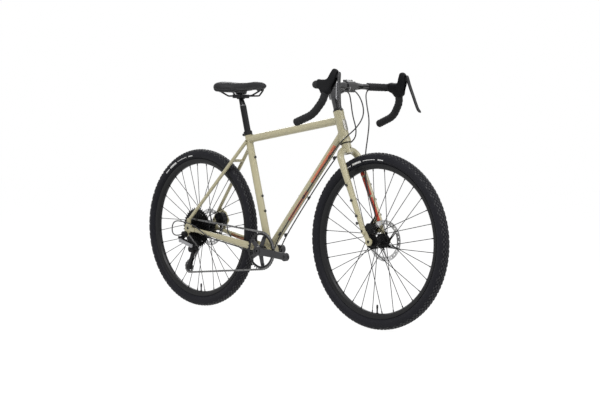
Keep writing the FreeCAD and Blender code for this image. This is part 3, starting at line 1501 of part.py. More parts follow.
lower_outer_pin = guide_centre + Vector(lower_pin_forward, chain_side - lower_pin_side, 0)
lower_inner_pin = lower_outer_pin + Vector(link_spread_run, link_spread, 0)
link_vector = Vector(link_run, link_inset, 0)
upper_outer_pin = lower_outer_pin - link_vector
upper_inner_pin = lower_inner_pin - link_vector
lower_eye = guide_centre.z + lug_height
upper_eye = lower_eye + link_fall


def upright(pin, bottom, top, radius):
    return rod(Vector(pin.x, pin.y, bottom), Vector(pin.x, pin.y, top), radius)


def lug(pins, bottom, top):
    """A block with round ends that joins two upright pins."""
    along = unit(pins[1] - pins[0])
    across = Vector(-along.y, along.x, 0) * lug_margin
    corners = [Vector(corner.x, corner.y, bottom) for corner in
               (pins[0] + across, pins[1] + across, pins[1] - across, pins[0] - across)]
    block = Part.Face(Part.makePolygon(corners + corners[:1])).extrude(upward * (top - bottom))
    return fused([block] + [upright(pin, bottom, top, lug_margin) for pin in pins])


def derailleur_link(upper, lower):
    across = unit(Vector(-link_vector.y, link_vector.x, 0)) * link_half_thickness
    start = Vector(upper.x, upper.y, 0) - across
    end = Vector(lower.x, lower.y, 0) - across
    corners = [start + upward * upper_eye, start + upward * (upper_eye + link_eye_height),
               end + upward * (lower_eye + link_eye_height), end + upward * lower_eye]
    web = Part.Face(Part.makePolygon(corners + corners[:1])).extrude(across * 2)
    body = fused([web, upright(upper, upper_eye, upper_eye + link_eye_height, link_eye_radius),
                  upright(lower, lower_eye, lower_eye + link_eye_height, link_eye_radius)])
    for pin in (upper, lower):
        body = body.cut(upright(pin, lower_eye, upper_eye + link_eye_height, link_pin_radius + running_gap))
    cap_room = pin_cap_radius + moving_gap
    body = body.cut(upright(lower, lower_eye + link_eye_height, upper_eye + link_eye_height, cap_room))
    return body.cut(upright(upper, lower_eye, upper_eye, cap_room))


save("derailleur_outer_link", derailleur_link(upper_outer_pin, lower_outer_pin))
save("derailleur_inner_link", derailleur_link(upper_inner_pin, lower_inner_pin))
knuckle_top = lower_eye - moving_gap
knuckle = [lug((lower_outer_pin, lower_inner_pin), knuckle_top - lug_height, knuckle_top),
           plate_disc(guide_centre, knuckle_radius, knuckle_far, knuckle_near),
           plate_arm(guide_centre, Vector(lower_inner_pin.x, 0, knuckle_top - lug_height / 2), lug_height / 2,
                     knuckle_far, knuckle_near)]
for pin in (lower_outer_pin, lower_inner_pin):
    knuckle.append(upright(pin, knuckle_top, lower_eye + link_eye_height + moving_gap, link_pin_radius))
    knuckle.append(upright(pin, lower_eye + link_eye_height + moving_gap, lower_eye + link_eye_height
                           + pin_cap,
                           pin_cap_radius))
pivot_bore = plate_disc(guide_centre, cage_pivot_radius + running_gap, knuckle_far + cage_pivot_floor,
                        knuckle_near)
save("derailleur_knuckle", fused(knuckle).cut(pivot_bore))

mount_start = -dropout_face - dropout_thickness
mount_end = mount_start - mount_length
mount_bottom = upper_eye + link_eye_height + moving_gap
mount_pieces = [plate_disc(hanger, mount_radius, mount_end, mount_start),
                lug((upper_outer_pin, upper_inner_pin), mount_bottom, mount_bottom + lug_height),
                plate_arm(hanger, Vector(upper_inner_pin.x, 0, mount_bottom + lug_height / 2), lug_height / 2,
                          mount_end, mount_start)]
for pin in (upper_outer_pin, upper_inner_pin):
    mount_pieces.append(upright(pin, upper_eye - moving_gap, mount_bottom, link_pin_radius))
    mount_pieces.append(upright(pin, upper_eye - pin_cap, upper_eye - moving_gap, pin_cap_radius))
mount_hole = plate_disc(hanger, hanger_bolt_radius + running_gap, mount_end, mount_start)
mount_bolt = bolt(Vector(hanger.x, mount_end, hanger.z), leftward * -1, mount_bolt_head_radius,
                  mount_bolt_head,
                  hanger_bolt_radius, mount_length + dropout_thickness)
save("derailleur_mount", fused(mount_pieces).cut(mount_hole), mount_bolt)

# Spacers and top cap on the steerer
spacers = []
spacer_start = head_tube_end + headset_cover + moving_gap
spacer_total = stem_along - stem_clamp_height / 2 - spacer_start
for height in spacer_heights:
    share = spacer_total * height / sum(spacer_heights)
    spacers.append(pipe(on_steerer(spacer_start), on_steerer(spacer_start + share), spacer_radius,
                        steerer_radius + running_gap))
    spacer_start += share
stem_end = stem_along + stem_clamp_height / 2
cap = spun(((0, 0), (0, spacer_radius), (cap_height - cap_chamfer, spacer_radius),
            (cap_height, spacer_radius - cap_chamfer), (cap_height, 0)), on_steerer(stem_end), steer_up)
cap = cap.cut(rod(on_steerer(stem_end), on_steerer(stem_end + cap_height), cap_bolt_radius + running_gap))
cap_bolt = bolt(on_steerer(stem_end + cap_height), steer_up, cap_bolt_head_radius, cap_bolt_head,
                cap_bolt_radius,
                cap_bolt_length)
save("headset_spacers", cap, cap_bolt, *spacers)

# Stem with a bolted faceplate
bar_centre = on_steerer(stem_along, stem_length)
stem_foot = on_steerer(stem_along - stem_clamp_height / 2)
clamp_side = leftward * stem_bar_half_width
bar_clamp = rod(bar_centre - clamp_side, bar_centre + clamp_side, stem_bar_radius)
face_blocks = []
for step in (1, -1):
    lobe = bar_centre + steer_up * (step * stem_bar_radius)
    face_blocks.append(rod(lobe - clamp_side, lobe + clamp_side, stem_lobe_radius))
bar_clamp = fused([bar_clamp] + face_blocks)
bar_clearance = rod(bar_centre - clamp_side, bar_centre + clamp_side, bar_clamp_radius + running_gap / 2)
ear_back = on_steerer(stem_along, -stem_clamp_radius - stem_ear / 4)
ear_reach = steer_up * stem_ear_half_height
stem_ear_rod = rod(ear_back - ear_reach, ear_back + ear_reach, stem_ear)
stem = fused([rod(stem_foot, on_steerer(stem_end), stem_clamp_radius),
              rod(on_steerer(stem_along), bar_centre, stem_body_radius), bar_clamp, stem_ear_rod])


def steerer_box(forward_start, forward_end, half_width, half_height):
    box = Part.makeBox(forward_end - forward_start, half_width * 2, half_height * 2)
    box.translate(Vector(forward_start, -half_width, -half_height))
    return placed(box, on_steerer(stem_along), steer_up)


front_zone = steerer_box(stem_length, stem_length + stem_bar_radius * 2, stem_bar_half_width * 2,
                         stem_bar_radius * 2)
split_zone = steerer_box(stem_length, stem_length + stem_split, stem_bar_half_width * 2, stem_bar_radius * 2)
slit = steerer_box(-stem_clamp_radius * 2, 0, stem_slit / 2, stem_clamp_height)
stem = stem.cut(front_zone).cut(bar_clearance).cut(slit)
stem = stem.cut(rod(stem_foot, on_steerer(stem_end), steerer_radius + running_gap / 2))
faceplate = bar_clamp.common(front_zone).cut(split_zone).cut(bar_clearance)
face_bolts = []
for step in (1, -1):
    for side in (stem_bolt_side, -stem_bolt_side):
        place = bar_centre + steer_up * (step * stem_bar_radius) + leftward * side
        place += steer_forward * stem_bolt_head_radius
        face_bolts.append(bolt(place, steer_forward, stem_bolt_head_radius, stem_bolt_head, stem_bolt_radius,
                               stem_bolt_length))
        socket = rod(place, place + steer_forward * stem_bar_radius, stem_bolt_head_radius + seating_gap)
        passage = rod(place - steer_forward * stem_passage, place, stem_bolt_radius + running_gap)
        faceplate = faceplate.cut(socket).cut(passage)
        stem = stem.cut(passage)
clamp_bolts = []
for step in (1, -1):
    place = ear_back + steer_up * (step * stem_pinch_rise) - steer_forward * stem_pinch_back
    place += leftward * stem_ear
    passage = rod(place - leftward * (stem_ear * 2), place + leftward * stem_ear, stem_bolt_radius
                  + running_gap)
    seat = rod(place, place + leftward * stem_ear, stem_bolt_head_radius + seating_gap)
    stem = stem.cut(passage).cut(seat)
    clamp_bolts.append(bolt(place, leftward, stem_bolt_head_radius, stem_bolt_head, stem_bolt_radius,
                            stem_pinch_shank))
save("stem", largest(stem))
save("stem_faceplate", largest(faceplate), *(face_bolts + clamp_bolts))

# Drop handlebar: one bent tube, thicker at the clamp, with flared drops
flare_run = math.tan(math.radians(bar_flare))


def on_bar(forward, drop):
    return bar_centre + Vector(forward, bar_half_width + drop * flare_run, -drop)


def other_side(point):
    return Vector(point.x, -point.y, point.z)


bar_corners = [on_bar(0, 0), on_bar(bar_reach, bar_ramp_drop), on_bar(bar_reach, bar_front_drop),
               on_bar(bar_reach - bar_turn_back, bar_turn_drop), on_bar(-bar_end_back, bar_end_drop)]
right_corners = [other_side(point) for point in reversed(bar_corners)]
bar_path = bent(right_corners + bar_corners, (0,) + tuple(reversed(bar_bends)) + bar_bends + (0,))
bulge_end = leftward * bar_bulge_half
taper_end = leftward * (bar_bulge_half + bar_taper)
bar_solid = fused([swept(bar_path, bar_radius),
                   rod(bar_centre - bulge_end, bar_centre + bulge_end, bar_clamp_radius),
                   taper(bar_centre + bulge_end, bar_centre + taper_end, bar_clamp_radius, bar_radius),
                   taper(bar_centre - bulge_end, bar_centre - taper_end, bar_clamp_radius, bar_radius)])
save("handlebar", bar_solid.cut(swept(bar_path, bar_radius - bar_wall)))

# Tape on the tops and on the drops, with an end plug in each drop
tape_top = bent([bar_centre + leftward * tape_start, bar_corners[0],
                 bar_corners[0] + unit(bar_corners[1] - bar_corners[0]) * (bar_bends[0] + tape_join)],
                (0, bar_bends[0], 0))
tape_drop = bent([bar_corners[1] + unit(bar_corners[2] - bar_corners[1]) * (bar_bends[1] + tape_thickness)]
                 + bar_corners[2:], (0,) + bar_bends[2:] + (0,))
tapes = [swept(path, bar_radius + tape_thickness).cut(swept(path, bar_radius + running_gap / 2))
         for path in (tape_top, tape_drop)]
save("bar_tape", *(tapes + [mirrored(tape) for tape in tapes]))
bar_tip = bar_corners[-1]
bar_out = unit(bar_corners[-1] - bar_corners[-2])
plug = spun(((-plug_depth, 0), (-plug_depth, bar_radius - bar_wall - running_gap),
             (seating_gap, bar_radius - bar_wall - running_gap), (seating_gap, plug_radius),
             (plug_rim, plug_radius), (plug_thickness, plug_face_radius), (plug_thickness, 0)),
            bar_tip, bar_out)
save("bar_plugs", plug, mirrored(plug))


# Hoods and levers, drawn upright in the plane of the left drop and then leaned out by the flare
def leaned(shape):
    copy = shape.copy()
    copy.rotate(origin, Vector(1, 0, 0), bar_flare)
    copy.translate(bar_centre + leftward * bar_half_width)
    return copy


def scaled(shares, size):
    return [(x * size, z * size) for x, z in shares]


def softened(shape, half_width, radius):
    """Rounds the long edges of a slab on both of its faces."""
    edges = [edge for edge in shape.Edges
             if all(abs(abs(vertex.Point.y) - half_width) < seating_gap for vertex in edge.Vertexes)
             and abs(edge.Vertexes[0].Point.y - edge.Vertexes[-1].Point.y) < seating_gap]
    return shape.makeFillet(radius, edges)


pivot = (lever_pivot_forward, lever_pivot_rise)
pivot_point = Vector(lever_pivot_forward, 0, lever_pivot_rise)
hood = softened(rounded_slab(scaled(hood_outline_shares, hood_height), hood_corner, -hood_half_width,
                             hood_half_width),
                hood_half_width, hood_edge)
slot_half = lever_lug_half_width + lever_slot_gap
hood_slot = slab([(pivot[0] - hood_slot_back, pivot[1] - hood_slot_drop),
                  (pivot[0] + hood_height, pivot[1] - hood_slot_drop), (pivot[0] + hood_height, hood_height),
                  (pivot[0] - hood_slot_back, pivot[1] + hood_slot_back)], -slot_half, slot_half)
pin_half = hood_half_width - lever_pin_inset
pin_hole = plate_disc(pivot_point, lever_pin_radius + running_gap, -hood_half_width, hood_half_width)
hood = hood.cut(hood_slot).cut(pin_hole)
hood_left = largest(leaned(hood).cut(swept(bar_path, bar_radius + running_gap / 2)))
pin_left = leaned(plate_disc(pivot_point, lever_pin_radius, -pin_half, pin_half))
save("lever_hoods", hood_left, mirrored(hood_left), pin_left, mirrored(pin_left))

blade_outline = scaled(lever_front_shares + lever_back_shares, lever_length)
blade = softened(slab(blade_outline, -lever_half_width, lever_half_width), lever_half_width, lever_edge)
lug_end = Vector(pivot[0] + lever_lug_reach, 0, pivot[1])
blade = fused([blade, plate_disc(pivot_point, lever_lug_radius, -lever_lug_half_width, lever_lug_half_width),
               plate_arm(pivot_point, lug_end, lever_lug_radius, -lever_lug_half_width,
                         lever_lug_half_width)])
blade = blade.cut(plate_disc(pivot_point, lever_pin_radius + running_gap, -lever_half_width,
                             lever_half_width))
save("brake_lever_left", leaned(blade))

# Shift paddle behind the right lever, on an upright pin that the lever carries
paddle_pin_x = pivot[0] + paddle_pin_forward
paddle_eye_top = pivot[1] - paddle_eye_drop
paddle_eye_bottom = paddle_eye_top - paddle_eye_height
paddle_spot = Vector(paddle_pin_x, 0, 0)
paddle_pin = upright(paddle_spot, paddle_eye_bottom - paddle_pin_radius / 2, pivot[1] - paddle_pin_radius,
                     paddle_pin_radius)
paddle = softened(slab(scaled(paddle_outline_shares, paddle_length), -paddle_half_width, paddle_half_width),
                  paddle_half_width, paddle_edge)
eye_radius = paddle_pin_radius * 2
paddle = fused([paddle, upright(paddle_spot, paddle_eye_bottom, paddle_eye_top, eye_radius)])
paddle = paddle.cut(upright(paddle_spot, paddle_eye_bottom - paddle_length, pivot[1], paddle_pin_radius
                            + running_gap))
save("brake_lever_right", mirrored(leaned(fused([blade, paddle_pin]))))
save("shift_paddle", mirrored(leaned(largest(paddle))))

# Seatpost with a cradle for the rails
neck_start = on_seat_tube(post_rise - neck_drop)
cradle_middle = Vector(neck_start.x - post_setback, 0, rail_height)
cradle_foot = cradle_middle - upward * cradle_height
rail_corners = [Vector(rail_front, rail_nose_half, rail_height + rail_rise_front),
                Vector(rail_front - rail_bend_run, rail_spacing_half, rail_height),
                Vector(rail_rear + rail_bend_run, rail_spacing_half, rail_height),
                Vector(rail_rear, rail_tail_half, rail_height + rail_rise_rear)]
rail_path = bent(rail_corners, (0, rail_bend, rail_bend, 0))
rail = swept(rail_path, rail_radius)
rails = Part.Compound([rail, mirrored(rail)])
rail_groove = swept(rail_path, rail_radius + running_gap / 2)
rail_grooves = Part.Compound([rail_groove, mirrored(rail_groove)])


def cradle(bottom, top):
    block = Part.makeBox(cradle_length, cradle_half_width * 2 + rail_radius * 2, top - bottom)
    block.translate(Vector(cradle_middle.x - cradle_length / 2, -cradle_half_width - rail_radius, bottom))
    return block


clamp_holes = [rod(cradle_foot + Vector(shift, 0, -clamp_bolt_head), cradle_middle
                   + Vector(shift, 0, cradle_height),
                   clamp_bolt_radius
                   + running_gap) for shift in (clamp_bolt_spacing_half, -clamp_bolt_spacing_half)]
post = fused([rod(on_seat_tube(seat_tube_length - post_insert), neck_start, post_radius),
              Part.makeSphere(post_radius, neck_start),
              taper(neck_start, cradle_foot + upward * cradle_gap, neck_root_radius, neck_radius),
              cradle(rail_height - cradle_height, rail_height - cradle_gap / 2)])
post = post.cut(rod(on_seat_tube(seat_tube_length - post_insert), on_seat_tube(post_rise - post_floor),
                    post_bore))
head_room = [rod(cradle_foot + Vector(shift, 0, 0), cradle_foot + Vector(shift, 0, -clamp_head_room),
                 clamp_bolt_head_radius
                 + seating_gap) for shift in (clamp_bolt_spacing_half, -clamp_bolt_spacing_half)]
post = post.cut(Part.Compound(head_room)).cut(Part.Compound(clamp_holes)).cut(rail_grooves)
upper_clamp = cradle(rail_height + cradle_gap / 2, rail_height + upper_clamp_height)
upper_clamp = upper_clamp.cut(rail_grooves).cut(Part.Compound(clamp_holes))
clamp_pins = [bolt(cradle_foot + Vector(shift, 0, 0), upward * -1, clamp_bolt_head_radius, clamp_bolt_head,
                   clamp_bolt_radius, clamp_bolt_length)
              for shift in (clamp_bolt_spacing_half, -clamp_bolt_spacing_half)]
save("seatpost", largest(post), upper_clamp, *clamp_pins)
save("saddle_rails", rails)

# Saddle: a cushion lofted through rounded sections, on a stiff shell that holds the rails
saddle_sections = []
shell_left_edge = []
for share, width, crown in zip(saddle_length_shares, saddle_width_shares, saddle_crown_shares):
    x = saddle_nose - saddle_length * share
    half = saddle_width / 2 * width
    rise = saddle_thickness * crown
    upper = [Vector(x, half * out, saddle_base_height + rise * high) for out, high in saddle_section_shares]
    lower = [other_side(point) for point in reversed(upper[1:])]
    curve = Part.BSplineCurve()
    curve.interpolate(Points=upper + lower, PeriodicFlag=True)
    saddle_sections.append(Part.Wire(curve.toShape()))
    shell_half = max(half * saddle_shell_share - saddle_shell_inset, half / 2)
    shell_x = x + saddle_shell_end_inset * (2 * share - 1)
    shell_left_edge.append(Vector(shell_x, shell_half, saddle_base_height))
below_saddle = Part.makeBox(saddle_length * 2, saddle_width * 2, saddle_thickness)
below_saddle.translate(Vector(saddle_nose - saddle_length * 2, -saddle_width, 0))
below_saddle.translate(upward * (saddle_base_height + seating_gap - saddle_thickness))
save("saddle", largest(Part.makeLoft(saddle_sections, True, False).cut(below_saddle)))
shell_edge = shell_left_edge + [other_side(point) for point in reversed(shell_left_edge)]
shell_plate = Part.Face(Part.makePolygon(shell_edge
                                         + shell_edge[:1])).extrude(upward * -saddle_shell_thickness)
save("saddle_shell", largest(shell_plate.cut(rail_grooves)))


# Hoses and housing: straight runs joined by arcs as wide as each corner allows
def route(points):
    radii = [0]
    for before, corner, after in zip(points, points[1:], points[2:]):
        half = (before - corner).getAngle(after - corner) / 2
        room = min((before - corner).Length, (after - corner).Length) * bend_room_share
        radii.append(min(hose_bend, room * math.tan(half)))
    return bent(points, radii + [0])


def under_down_tube(along, reach, angle):
    """A place round the down tube, by its angle below the right side."""
    lean = math.radians(angle)
    return on_down_tube(along, -reach * math.sin(lean), -reach * math.cos(lean))


def tube_run(reach, angles):
    return [under_down_tube(along, reach, angle) for along, angle in zip(tube_run_ends, angles)]


def shell_pass(sign):
    drop = shell_radius + hose_radius + hose_gap * 2
    return [shell_centre + Vector(lead, sign * shell_pass_side, -drop)
            for lead in (shell_pass_lead, -shell_pass_lead)]


def from_bar(offsets):
    return [bar_centre + Vector(*offset) for offset in offsets]


def from_axle(offsets):
    return [rear_axle + Vector(*offset) for offset in offsets]


hose_forward = bar_radius + hose_radius + hose_gap * 2
low_forward, low_rise = [hose_forward * share for share in hose_low_shares]
rear_start = bar_centre + Vector(low_forward, -bar_hose_start, low_rise)
front_start = bar_centre + Vector(low_forward, bar_hose_start, low_rise)
shift_start = bar_centre + Vector(hose_forward, -bar_hose_start, 0)


def inlet(place, angle):
    inward = Vector(-math.sin(math.radians(angle)), 0, math.cos(math.radians(angle)))
    return [place - inward * hose_fitting_length, place + inward * hose_fitting_depth]


rear_run = tube_run(rear_run_reach, rear_run_angles)
rear_points = [rear_start] + from_bar(rear_loop) + rear_run + shell_pass(1) + from_axle(rear_stay)
rear_points += inlet(rear_inlet, caliper_angle_rear)
front_points = [front_start] + from_bar(front_loop) + inlet(front_inlet, caliper_angle_front)
shift_end = Vector(hanger.x - mount_radius - shift_end_gap, mount_start - mount_length / 2, hanger.z)
shift_run = tube_run(shift_run_reach, shift_run_angles)
shift_points = [shift_start] + from_bar(shift_loop) + shift_run + shell_pass(-1) + from_axle(shift_stay)
shift_points.append(shift_end)
for line_name, points in (("rear_brake_hose", rear_points), ("front_brake_hose", front_points),
                          ("shift_housing", shift_points)):
    save(line_name, swept(route(points), hose_radius))

# Guides that hold the two lines under the down tube, on stalks that stand on it
guides = []
for first, last in (rear_run, shift_run):
    line_along = unit(last - first)
    first_along = tube_run_ends[0]
    half_guide = line_along * (guide_length / 2)
    for along in tube_guides:
        middle = first + (last - first) * ((first_along - along) / (first_along - tube_run_ends[1]))
        clip = fused([rod(middle - half_guide, middle + half_guide, guide_radius),
                      rod(middle, on_down_tube(along), guide_stalk_radius)])
        passage = rod(middle - half_guide, middle + half_guide, hose_radius + guide_gap)
        clip = clip.cut(passage).cut(rod(shell_centre, down_tube_end, down_tube_radius))
        guides.append(largest(clip))
save("cable_guides", *guides)
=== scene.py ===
from math import atan2, copysign, cos, pi, radians, sin, sqrt, tan

import bmesh
import bpy
from mathutils import Matrix, Vector


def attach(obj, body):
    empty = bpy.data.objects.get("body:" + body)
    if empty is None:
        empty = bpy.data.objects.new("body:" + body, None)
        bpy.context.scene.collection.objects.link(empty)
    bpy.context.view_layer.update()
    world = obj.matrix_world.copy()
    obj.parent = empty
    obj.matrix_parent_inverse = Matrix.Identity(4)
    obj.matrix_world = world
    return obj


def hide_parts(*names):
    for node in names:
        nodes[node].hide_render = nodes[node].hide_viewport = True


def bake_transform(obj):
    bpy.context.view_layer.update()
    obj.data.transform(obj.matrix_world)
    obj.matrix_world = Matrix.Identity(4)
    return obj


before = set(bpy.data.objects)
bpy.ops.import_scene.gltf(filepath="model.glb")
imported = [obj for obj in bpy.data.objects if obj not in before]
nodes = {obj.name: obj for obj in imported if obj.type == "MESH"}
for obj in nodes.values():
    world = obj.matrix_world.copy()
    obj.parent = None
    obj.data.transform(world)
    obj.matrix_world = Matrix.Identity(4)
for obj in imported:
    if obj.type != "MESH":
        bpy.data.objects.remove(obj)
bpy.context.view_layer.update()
scene = bpy.context.scene
MM = 0.001
LEFT = Vector((0, 1, 0))
RIGHT = Vector((0, -1, 0))

# Sizes shared with the solids, in millimetres
REAR_AXLE = Vector((-510.0, 0.0, 340.0))
FRONT_AXLE = Vector((510.0, 0.0, 340.0))
SHELL = Vector((-85.9863, 0.0, 268.5))
SHELL_HALF = 34.0
STEER_FOOT = Vector((467.3257, 0.0, 325.7212))
STEER_UP = Vector((-0.317305, 0.0, 0.948324))
STEER_FORWARD = Vector((0.948324, 0.0, 0.317305))
HEAD_LOW = 409.5
HEAD_HIGH = 539.5
SEAT_UP = Vector((-0.267238, 0.0, 0.963630))
SEAT_FRONT = Vector((0.963630, 0.0, 0.267238))
SEAT_TUBE_LENGTH = 505.0
BAR_CENTRE = Vector((351.8423, 0.0, 935.5939))
BAR_HALF = 204.0
FLARE = radians(13.2)
HOSE_RADIUS = 2.5

# Tubes: two ends and a radius each
TOP_TUBE = (Vector((-212.4, 0.0, 724.5)), Vector((307.4, 0.0, 803.7)), 16.2)
DOWN_TUBE = (SHELL, Vector((323.745, 0.0, 754.838)), 16.0)
HEAD_TUBE = (STEER_FOOT + STEER_UP * HEAD_LOW, STEER_FOOT + STEER_UP * HEAD_HIGH, 20.5)
SEAT_TUBE = (SHELL, SHELL + SEAT_UP * SEAT_TUBE_LENGTH, 15.3)
SHELL_TUBE = (SHELL + RIGHT * SHELL_HALF, SHELL + LEFT * SHELL_HALF, 20.0)

# Materials
PATCH_RANGE = (0.30, 0.72)
GRAIN_SHARE = 0.25
GRAIN_MIDDLE = 0.12
LEAST_ROUGHNESS = 0.02
WHEEL_PLANE = (1.0, 0.0, 1.0)
HUB_BLACK = (0.012, 0.012, 0.013, 1.0)
ROTOR_HUB_RADIUS = 36.0


def add_node(tree, kind, links=None, values=None, operation=None):
    """A shader node, with links into some of its sockets and values on others."""
    made = tree.nodes.new(kind)
    if operation:
        made.operation = operation
    for socket, source in (links or {}).items():
        tree.links.new(source, made.inputs[socket])
    for socket, value in (values or {}).items():
        made.inputs[socket].default_value = value
    return made


def larger(tree, first, second):
    """The larger of two values."""
    return add_node(tree, "ShaderNodeMath", {0: first, 1: second}, operation="MAXIMUM").outputs[0]


def black_centre(tree, place, colour, axle, radius):
    """A colour that is black within a radius of a wheel's axle."""
    arm = add_node(tree, "ShaderNodeVectorMath", {0: place}, {1: axle * MM}, "SUBTRACT")
    in_plane = add_node(tree, "ShaderNodeVectorMath", {0: arm.outputs[0]}, {1: WHEEL_PLANE}, "MULTIPLY")
    away = add_node(tree, "ShaderNodeVectorMath", {0: in_plane.outputs[0]}, operation="LENGTH")
    inside = add_node(tree, "ShaderNodeMath", {0: away.outputs["Value"]}, {1: radius * MM}, "LESS_THAN")
    choice = tree.nodes.new("ShaderNodeMix")
    choice.data_type = "RGBA"
    choice.inputs["B"].default_value = HUB_BLACK
    tree.links.new(inside.outputs[0], choice.inputs["Factor"])
    tree.links.new(colour, choice.inputs["A"])
    return choice.outputs["Result"]


def surface(name, dark, light, rough, metallic=0.0, coat=0.0, grain=1300.0, depth=0.00002, blotch=9.0,
            spread=0.10, stretch=(1.0, 1.0, 1.0), specular=0.5, sheen=0.0, cells=False, centre=None):
    """A procedural finish: broad patches between two colours, fine grain in the bump, both in the roughness.
    A centre is a wheel axle's place and a radius: the finish is black inside it."""
    made = bpy.data.materials.new(name)
    made.use_nodes = True
    tree = made.node_tree
    tree.nodes.clear()
    place = add_node(tree, "ShaderNodeTexCoord").outputs["Object"]
    scaled = add_node(tree, "ShaderNodeMapping", {"Vector": place}, {"Scale": stretch}).outputs["Vector"]
    broad = add_node(tree, "ShaderNodeTexNoise", {"Vector": scaled},
                     {"Scale": blotch, "Detail": 5.0}).outputs["Fac"]
    if cells:
        fine = add_node(tree, "ShaderNodeTexVoronoi", {"Vector": scaled},
                        {"Scale": grain}).outputs["Distance"]
    else:
        fine = add_node(tree, "ShaderNodeTexNoise", {"Vector": scaled},
                        {"Scale": grain, "Detail": 3.0}).outputs["Fac"]
    both = add_node(tree, "ShaderNodeMath", {0: fine, 2: broad}, {1: GRAIN_SHARE}, "MULTIPLY_ADD").outputs[0]
    centred = add_node(tree, "ShaderNodeMath", {0: both}, {1: GRAIN_MIDDLE}, "SUBTRACT").outputs[0]
    ramp = add_node(tree, "ShaderNodeValToRGB", {"Fac": centred})
    for stop, position, tone in zip(ramp.color_ramp.elements, PATCH_RANGE, (dark, light)):
        stop.position = position
        stop.color = (*tone, 1.0)
    rough_map = add_node(tree, "ShaderNodeMapRange", {"Value": both}, {
        "From Min": 0.25, "From Max": 0.85,
        "To Min": max(LEAST_ROUGHNESS, rough - spread), "To Max": min(1.0, rough + spread)})
    bump = add_node(tree, "ShaderNodeBump", {"Height": fine}, {"Strength": 0.6, "Distance": depth})
    colour = ramp.outputs["Color"]
    if centre:
        colour = black_centre(tree, place, colour, *centre)
    shader = add_node(tree, "ShaderNodeBsdfPrincipled", {
        "Base Color": colour, "Roughness": rough_map.outputs["Result"], "Normal": bump.outputs["Normal"]}, {
        "Metallic": metallic, "Specular IOR Level": specular, "Coat Weight": coat,
        "Coat Roughness": 0.08, "Sheen Weight": sheen})
    add_node(tree, "ShaderNodeOutputMaterial", {"Surface": shader.outputs["BSDF"]})
    return made


def printed(name, dark, light, rough):
    return surface(name, dark, light, rough, grain=500.0, blotch=16.0)


def rotor_steel(name, axle):
    return surface(name, (0.48, 0.48, 0.48), (0.62, 0.62, 0.62), 0.28, metallic=0.95, grain=900.0,
                   depth=0.00003, stretch=(1.0, 8.0, 1.0), centre=(axle, ROTOR_HUB_RADIUS))


PAINT = surface("khaki_paint", (0.410, 0.373, 0.230), (0.455, 0.415, 0.259), 0.33, coat=0.55, grain=500.0,
                depth=0.000006, blotch=4.0, spread=0.05)
PLATE = surface("bare_plate", (0.30, 0.29, 0.27), (0.38, 0.37, 0.34), 0.30, metallic=0.7, grain=900.0,
                blotch=30.0, stretch=(1.0, 1.0, 5.0))
BROWN = printed("brown_print", (0.20, 0.085, 0.040), (0.26, 0.110, 0.050), 0.44)
CORAL = printed("coral_print", (0.60, 0.17, 0.085), (0.70, 0.22, 0.115), 0.42)
RED = printed("red_print", (0.42, 0.036, 0.013), (0.50, 0.052, 0.020), 0.42)
PALE = surface("pale_print", (0.62, 0.62, 0.61), (0.76, 0.76, 0.75), 0.55, grain=900.0, blotch=60.0)
BLACK = surface("black_alloy", (0.004, 0.004, 0.005), (0.010, 0.010, 0.011), 0.38, metallic=0.2,
                grain=1500.0, specular=0.2)
GLOSS_BLACK = surface("gloss_black_alloy", (0.008, 0.008, 0.009), (0.016, 0.016, 0.019), 0.16, metallic=0.3,
                      coat=0.6, grain=1200.0, blotch=20.0, spread=0.08)
RIM = surface("rim_black", (0.005, 0.005, 0.006), (0.010, 0.010, 0.011), 0.38, metallic=0.1, grain=1400.0,
              specular=0.25)
RING = surface("ring_black", (0.012, 0.012, 0.013), (0.024, 0.024, 0.026), 0.34, metallic=0.5, grain=1400.0,
               depth=0.00003, specular=0.3)
CRANK = surface("crank_grey", (0.030, 0.030, 0.032), (0.048, 0.048, 0.052), 0.34, metallic=0.6, grain=1400.0,
                depth=0.00003)
SILVER = surface("satin_silver", (0.26, 0.26, 0.27), (0.40, 0.40, 0.41), 0.28, metallic=0.9,
                 stretch=(1.0, 1.0, 6.0))
LEVER_BLACK = surface("lever_black", (0.014, 0.014, 0.015), (0.024, 0.024, 0.026), 0.26, metallic=0.5,
                      blotch=20.0)
LEVER_GREY = surface("lever_grey", (0.17, 0.17, 0.18), (0.25, 0.25, 0.26), 0.30, metallic=0.8)
FRONT_ROTOR = rotor_steel("front_rotor_steel", FRONT_AXLE)
REAR_ROTOR = rotor_steel("rear_rotor_steel", REAR_AXLE)
CHAIN = surface("chain_steel", (0.10, 0.10, 0.10), (0.22, 0.22, 0.22), 0.34, metallic=0.9, grain=700.0,
                depth=0.00003, blotch=70.0)
COGS = surface("cog_black", (0.004, 0.004, 0.004), (0.012, 0.012, 0.013), 0.36, metallic=0.3, grain=900.0,
               depth=0.00003, blotch=60.0, specular=0.15)
SPOKES = surface("spoke_black", (0.002, 0.002, 0.002), (0.005, 0.005, 0.006), 0.50, grain=1500.0,
                 depth=0.00001, specular=0.08)
# Tread and carcass are one black rubber: the tread colour is painted lighter as a painted highlight on the
# knob edges, the carcass colour darker as painted shade in the grooves between the blocks
TREAD_RUBBER_AND_HIGHLIGHT = surface("tread_rubber_and_highlight", (0.014, 0.014, 0.016), (0.030, 0.030, 0.034), 0.46, depth=0.00012,
                blotch=120.0, specular=0.36)
TYRE_RUBBER_AND_GROOVE_SHADE = surface("tyre_rubber", (0.006, 0.006, 0.009), (0.012, 0.012, 0.016), 0.60, grain=1100.0,
               depth=0.00012, blotch=24.0, specular=0.17)
TAPE = surface("tape_cork", (0.004, 0.004, 0.005), (0.010, 0.010, 0.011), 0.74, grain=1500.0, depth=0.00020,
               blotch=40.0, specular=0.3, sheen=0.05)
HOOD = surface("hood_rubber", (0.003, 0.003, 0.004), (0.008, 0.008, 0.009), 0.58, grain=900.0, depth=0.00020,
               blotch=30.0, specular=0.12, cells=True)
HOSE = surface("hose_plastic", (0.008, 0.008, 0.009), (0.015, 0.015, 0.016), 0.36, grain=2200.0,
               depth=0.00003, blotch=30.0)
